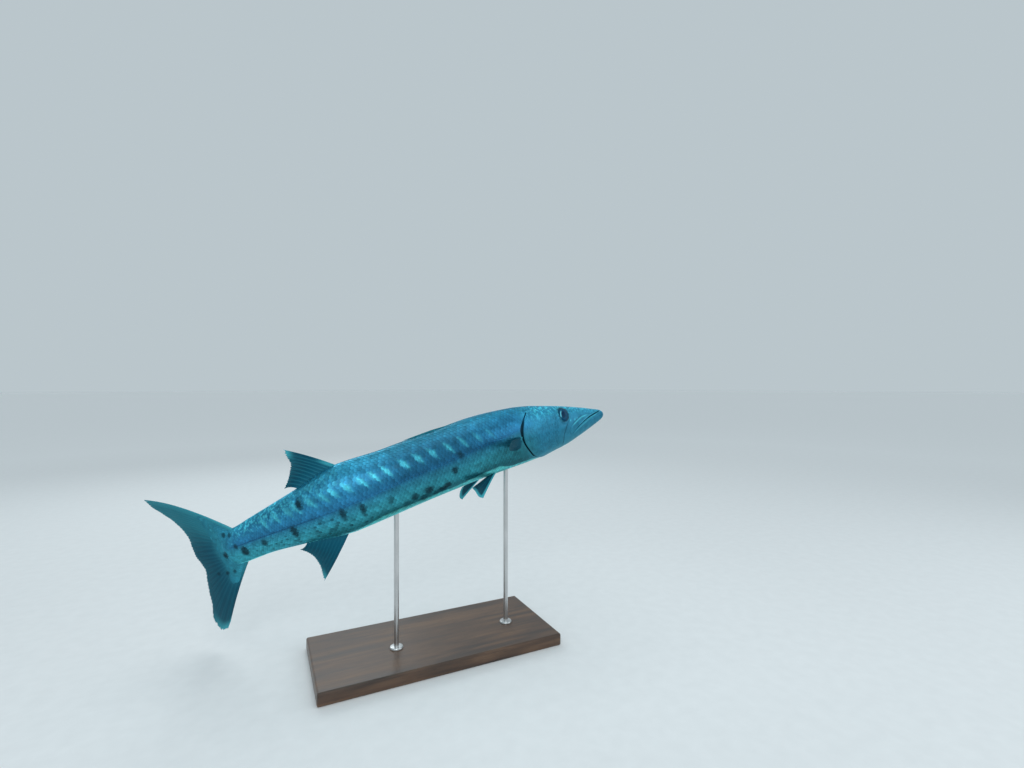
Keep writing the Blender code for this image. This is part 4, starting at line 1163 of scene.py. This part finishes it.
def ray_ridge(across, run, rays, split):
    """How much of a ray's ridge lies at a place: rays branch once past split and again near the edge."""
    at = across * (rays - 1)
    nearest = np.round(at)
    branches = nearest > 0.5
    part = np.where(branches, 0.23 * ease(run, split, 1.02), 0.0)
    part_two = np.where(branches, 0.095 * ease(run, split + 0.3, split + 1.0), 0.0)
    width = 0.17 - 0.095 * ease(run, 0, 0.8)
    return ridge(np.abs(np.abs(np.abs(at - nearest) - part) - part_two), width)


def fin_half(out, root_half):
    """Half the thickness of a fin's membrane, in metres, out along its rays."""
    return MEMBRANE_HALF + (root_half - MEMBRANE_HALF) * 0.9 * (1 - out) ** 3


def fin(name, nodes, root, tip, rays, finish, pale_for, root_half=0.0016, ray_half=0.0006, split=0.35,
        rows=34, fine=12, bow=None, spots=False, lines=1.0, dim=0.0, frayed=1.0):
    """A fin: membrane between rays that branch past split, thick at its root, which is sunk in the flesh.

    It takes the place of nodes. pale_for gives how pale it is at a place across it and out along its rays,
    bow how far a ray curves upwards, in body lengths, spots whether it bears the body's spots, lines how
    clearly the rays show in its colour, dim how dark it is, and frayed how ragged its edge is.
    """
    across = np.linspace(0, 1, (rays - 1) * fine + 1)
    starts, ends = (np.array([line(a) for a in across]) for line in (root, tip))
    run = np.concatenate([[-FIN_SINK, -FIN_SINK / 2], np.linspace(0, 1, rows)])
    run_grid, across_grid = np.broadcast_arrays(run[:, None], across[None, :])
    out = np.clip(run_grid, 0, 1)
    ray = ray_ridge(across_grid, out, rays, split)
    reach = 1 - frayed * (0.03 * (1 - ray[-1]) + 0.012 * np.abs(np.sin(across * 37 + 1.0)))
    fish = starts + (ends - starts) * (run_grid * reach[None, :])[..., None]
    if bow:
        fish[..., 2] += 4 * bow(across_grid) * out * (1 - out)
    middle = world(fish)
    normal = np.cross(np.gradient(middle, axis=0), np.gradient(middle, axis=1))
    normal /= np.linalg.norm(normal, axis=-1, keepdims=True)
    half = fin_half(out, root_half) + ray * ray_half * (1 - 0.72 * out)
    half = half * (0.55 + 0.45 * np.minimum(ease(run_grid, 1.02, 0.985), 1.0))
    sides = [(middle + way * normal * half[..., None]).reshape(-1, 3) for way in (1, -1)]
    high, wide = middle.shape[:2]
    back = high * wide
    faces = grid_faces(high, wide)
    rim = np.concatenate([np.arange(wide), np.arange(2, high + 1) * wide - 1,
                          (high - 1) * wide + np.arange(wide - 2, -1, -1), np.arange(high - 2, 0, -1) * wide])
    after = np.roll(rim, -1)
    walls = np.stack([rim, back + rim, back + after, after], -1)
    pale = pale_for(across_grid, out)
    dark = marks_at(fish[..., 0], fish[..., 2], RIGHT)[0] if spots else dim * (1 - np.clip(2 * pale, 0, 1))
    values = {"ray": ray * lines, "run": out, "dark": dark, "pale": pale}
    values = {key: np.concatenate([value.ravel(), value.ravel()]) for key, value in values.items()}
    piece = make_piece(name, np.concatenate(sides), [faces, faces[:, ::-1] + back, walls], values, finish)
    outward(piece)
    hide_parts(*nodes)


def outline(points):
    """A middle fin's tips, from its points."""
    return lambda a: (float(smooth(points, a)), 0.0, float(smooth(points, a, 2)))


def tail_root(a):
    """Root of the tail fin, round the end of the stem: 0 at the belly's side, 1 at the back's."""
    angle = (2 * a - 1) * math.pi / 2
    back, belly, _, level, _, _ = station(STEM_TAPER)
    power = 2 / ROUND_POWER
    share = STEM_TAPER - 0.004 + STEM_ROUND * abs(math.cos(angle)) ** power
    reach = (back - level if angle > 0 else level - belly) - 0.001
    return share, 0.0, float(level + math.copysign(abs(math.sin(angle)) ** power, angle) * reach)


def tail_tip(a):
    return outline(TAIL)(2 * a - 1)


def tail_bow(a):
    return TAIL_BOW * np.clip(2 * a - 1, 0, 1) ** 2


def on_tail(side):
    """The tail fin's surface under scales that lie out along its rays, row 0 at its upper edge."""
    table = np.linspace(0, 1, 161)
    lines = [np.array([line(a) for a in table]) for line in (tail_root, tail_tip)]

    def surface(run, row, raised):
        start, end = (np.stack([np.interp(1 - row, table, line[:, k]) for k in range(3)], -1)
                      for line in lines)
        fish = start + (end - start) * run[..., None]
        fish[..., 2] += 4 * tail_bow(1 - row) * np.clip(run * (1 - run), 0, 1)
        out = np.clip(run, 0, 1)
        half = 1000 * fin_half(out, TAIL_ROOT_HALF) + TAIL_RAY * 500
        fish[..., 1] += side * (half + raised) / SPAN
        return fish, 0.1 + 0.55 * row + 0.25 * out

    return surface


def middle_fins(finish):
    """The fins on the back, under the tail stem and the tail fin itself."""

    def along(low, high, turn):
        return lambda a: tuple(skin(low + (high - low) * a, turn, MIDDLE_ROOT))

    def folded_tip(a):
        share = 0.445 + 0.085 * a + 0.05 * (1 - 0.4 * a)
        return share, 0.0, float(skin(share, 0.0, 2.5 * (1 - 0.35 * a))[2])

    def second_pale(across, run):
        tip = 0.95 * ease(run, 0.78, 1) * fall(across, 0.04, 0.3)
        foot = 0.85 * fall(run, 0.1, 0.42) * fall(across, 0.02, 0.16)
        return np.maximum(tip, foot) + 0.1 * ease(run, 0.94, 1)

    def anal_pale(across, run):
        tip = 0.8 * ease(run, 0.84, 1) * fall(across, 0.06, 0.3)
        return np.maximum(tip, 0.55 * ease(run, 0.955, 1))

    def tail_pale(across, run):
        tip = 0.95 * ease(run, 0.84, 1) * fall(across, 0.03, 0.17)
        upper = 0.3 * ease(across, 0.5, 0.8) + 0.22 * ease(across, 0.93, 1) + 0.1 * ease(run, 0.9, 1)
        return np.max([tip, upper, 0.34 * fall(run, 0.05, 0.4)], axis=0)

    fin("first_back_fin", ("dorsal_fin_first",), along(0.445, 0.53, 0.0), folded_tip, 5, finish,
        lambda across, run: 0.34 + 0.1 * run, 0.0012, 0.0008, split=0.9, rows=16, lines=0.3)
    fin("second_back_fin", ("dorsal_fin_second",), along(0.699, 0.781, 0.0), outline(SECOND_DORSAL), 11,
        finish, second_pale, bow=lambda a: 0.003)
    fin("under_tail_fin", ("anal_fin",), along(0.724, 0.808, math.pi), outline(ANAL), 11, finish, anal_pale,
        bow=lambda a: -0.003, lines=0.5)
    fin("tail_fin", ("caudal_fin_upper", "caudal_fin_middle", "caudal_fin_lower"), tail_root, tail_tip, 27,
        finish, tail_pale, TAIL_ROOT_HALF, TAIL_RAY, rows=48, fine=9, bow=tail_bow, spots=True, split=0.2,
        lines=0.4)


def paired_fins(finish):
    """The pectoral and pelvic fins of both sides."""

    # Pale at the upper root as a painted highlight, and a little pale at the edge
    def pectoral_highlight_and_edge(across, run):
        return 0.85 * fall(run, 0.04, 0.16) * fall(across, 0.1, 0.4) + 0.05 * ease(run, 0.93, 1)

    def pelvic_pale(across, run):
        return np.maximum(0.95 * fall(across, 0.08, 0.2), 0.85 * ease(run, 0.87, 0.96))

    for word, side in reversed(SIDES):
        for name, start, stop, ends, rays, ray_half, pale_for in (
                ("pectoral", (0.312, -0.002), (0.32, -0.026), PECTORAL, 14, 0.0004, pectoral_highlight_and_edge),
                ("pelvic", (0.38, -0.0702), (0.393, -0.0729), PELVIC[side], 7, 0.0006, pelvic_pale)):

            def root(a):
                share, height = (low + (high - low) * a for low, high in zip(start, stop))
                return tuple(skin(share, side * float(turn_at(share, height)), PAIRED_ROOT))

            def tip(a):
                share, left, up = (float(smooth(ends, a, k)) for k in (1, 2, 3))
                return share, side * left, up

            fin(name + "_" + word, (name + "_fin_" + word,), root, tip, rays, finish, pale_for,
                ray_half=ray_half, lines=0.5, dim=0.34, frayed=0.35)


def fin_colours():
    """Dark teal membrane with paler rays and edges, for every fin."""
    tree, given, put = new_group(
        "fin colours", {"Ray": 0.0, "Run": 0.5, "Pale": 0.0, "Dark": 0.0},
        {"Colour": "Color", "Alpha": "Float", "Roughness": "Float", "Height": "Float"})
    ray, run, pale, dark = given[:4]
    fine = grain(tree, 700)
    place = scaled(tree, grain(tree, 60, 4), 0.24, work_out(tree, "SUBTRACT", run, 0.12))
    film = ramp(tree, place, thousandths((0, 14, 130, 200), (220, 6, 95, 152), (600, 4, 72, 116),
                                         (1000, 6, 84, 126)))
    colour = blend(tree, times(tree, ray, 0.75), film, tint(20, 165, 225))
    colour = blend(tree, times(tree, pale, (fine, 0.25, 0.65, 0.72, 1)), colour, tint(70, 480, 560))
    joints = work_out(tree, "SINE", times(tree, run, 190.0))
    put_in(tree, put, {
        "Colour": blend(tree, dark, colour, tint(2, 24, 38)),
        "Alpha": work_out(tree, "MINIMUM", scaled(tree, ray, 0.15, (run, 0.2, 1, 1, 0.86)), 1.0),
        "Roughness": scaled(tree, fine, 0.25, 0.42),
        "Height": scaled(tree, times(tree, joints, ray), 0.35, fine)})
    return tree


def fin_finish():
    """Thin dark film with a silvery gloss."""
    made, tree, shader = new_finish("fin_finish")
    placed = place_group(tree, fin_colours(), ("Ray", "Run", "Pale", "Dark"))
    put_in(tree, shader, {
        "Base Color": placed["Colour"], "Alpha": placed["Alpha"], "Roughness": placed["Roughness"],
        "Metallic": 0.3, "Specular IOR Level": 0.14, "Specular Tint": WATER_TINT,
        "Normal": bumps(tree, placed["Height"], 0.35, 0.0004)})
    return made


def wood_finish():
    """Dark oiled walnut with its grain along the base."""
    made, tree, shader = new_finish("base_wood_finish")
    streak = grain(tree, 60.0, 6, (0.06, 1.0, 1.0), 0.62)
    pores = grain(tree, 900.0, 2, (0.05, 1.0, 1.0))
    rings = scaled(tree, grain(tree, 3.0, 3, (1.0, 6.0, 6.0)), 26.0, times(tree, streak, 5.0))
    tone = scaled(tree, work_out(tree, "SINE", rings), 0.1, streak)
    colour = ramp(tree, tone, thousandths((250, 30, 15, 9), (500, 85, 42, 22), (750, 150, 78, 40)))
    put_in(tree, shader, {
        "Base Color": blend(tree, (pores, 0.58, 0.7, 0, 0.55), colour, tint(18, 9, 6)),
        "Roughness": (tone, 0.2, 0.8, 0.36, 0.5), "Normal": bumps(tree, tone, 0.12, 0.0005),
        "Coat Weight": 0.25, "Coat Roughness": 0.25})
    return made


def steel_finish():
    """Steel brushed along the rods."""
    made, tree, shader = new_finish("rod_steel_finish")
    brushed = grain(tree, 900.0, 4, (1.0, 1.0, 0.012), 0.6)
    shade = scaled(tree, brushed, 0.16, (grain(tree, 30.0, 2), 0.3, 0.7, 0.46, 0.54))
    put_in(tree, shader, {
        "Base Color": grey(tree, shade), "Roughness": (brushed, 0.3, 0.7, 0.22, 0.4), "Metallic": 1.0,
        "Normal": bumps(tree, brushed, 0.08, 0.0002)})
    return made


def dress_stand(wood, steel):
    """Gives the stand's own solids their finishes and adds a flat bevelled collar at each rod's foot."""
    for name, finish in (("stand_base", wood), ("stand_rod_front", steel), ("stand_rod_rear", steel)):
        for slot in frame["nodes"][name].material_slots:
            slot.material = finish
    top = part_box("stand_base")[1][2]
    for name in ("front", "rear"):
        low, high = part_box("stand_rod_" + name)
        start_model()
        bpy.ops.mesh.primitive_cylinder_add(vertices=64, radius=COLLAR_RADIUS, depth=COLLAR_HEIGHT)
        collar = bpy.context.object
        collar.name = collar.data.name = "stand_collar_" + name
        shape_part(collar, lambda at: at.z > 0, (0.9, 0.9, 1.0))
        rounded = collar.modifiers.new("rounded", "BEVEL")
        rounded.width = 0.001
        rounded.segments = 3
        rounded.limit_method = "ANGLE"
        bpy.ops.object.modifier_apply(modifier="rounded")
        foot = Vector(((low[0] + high[0]) / 2, (low[1] + high[1]) / 2, top + COLLAR_HEIGHT / 2))
        collar.data.transform(Matrix.Translation(foot))
        dress(collar, steel, sharp=35)
    start_model()


def studio():
    """Wide pale floor under a pale sky, soft lights and the camera."""
    start_model()
    bpy.ops.mesh.primitive_circle_add(vertices=128, radius=FLOOR_RADIUS, fill_type="NGON")
    floor = bpy.context.object
    floor.name = floor.data.name = "floor"
    made, tree, shader = new_finish("floor_finish")
    x, y, _ = add_node(tree, "SeparateXYZ", {0: add_node(tree, "TexCoord", {}, "Object")}).node.outputs
    # Lighter from 1 to 4 metres out: painted light that makes up for the lamps' falloff, so the floor fades
    # into the sky
    pale = work_out(tree, "ADD", (grain(tree, 40, 5), 0.3, 0.7, 0.77, 0.8),
                    (far_from(tree, x, y), 1, 4, 0, 0.18))
    put_in(tree, shader, {"Base Color": grey(tree, pale), "Roughness": 0.65})
    floor.data.materials.append(made)

    scene = bpy.context.scene
    sky = bpy.data.worlds.new("studio_light")
    sky.use_nodes = True
    put_in(sky.node_tree, sky.node_tree.nodes["Background"], {0: (0.82, 0.94, 1.0, 1.0), 1: 0.6})
    scene.world = sky
    for name, place, size, power, colour in LAMPS:
        lamp = bpy.data.lights.new(name, "AREA")
        lamp.shape = "RECTANGLE"
        lamp.size, lamp.size_y = size
        lamp.energy = power
        lamp.color = colour
        placed = bpy.data.objects.new(name, lamp)
        scene.collection.objects.link(placed)
        placed.location = place
        placed.rotation_euler = (LAMPS_AIM - Vector(place)).to_track_quat("-Z", "Y").to_euler()

    lens = bpy.data.cameras.new("camera")
    lens.lens = CAMERA_LENS
    lens.sensor_width = 36.0
    lens.clip_start = 0.05
    camera = bpy.data.objects.new("camera", lens)
    scene.collection.objects.link(camera)
    camera.location = CAMERA_PLACE
    camera.rotation_euler = (math.radians(90), 0.0, CAMERA_TURN)
    scene.camera = camera
    scene.view_settings.view_transform = "Standard"


def main():
    colours = body_colours()
    labels = ("Along", "Down", "Dark", "Pale")
    skin_finish = body_finish("skin_finish", colours, 0.26, 0.16, labels)
    scale_finish = body_finish("scale_finish", colours, 0.22, 0.1, (*labels, "Edge", "Tone"))
    body_skin(skin_finish)
    body_scales(scale_finish)
    cheek_scales(scale_finish)
    tail_root_scales(scale_finish)
    look = eye_finish()
    for word, side in reversed(SIDES):
        eyeball(word, side, look)
        eye_rim(word, side, skin_finish)
    film = fin_finish()
    middle_fins(film)
    paired_fins(film)
    dress_stand(wood_finish(), steel_finish())
    studio()


main()
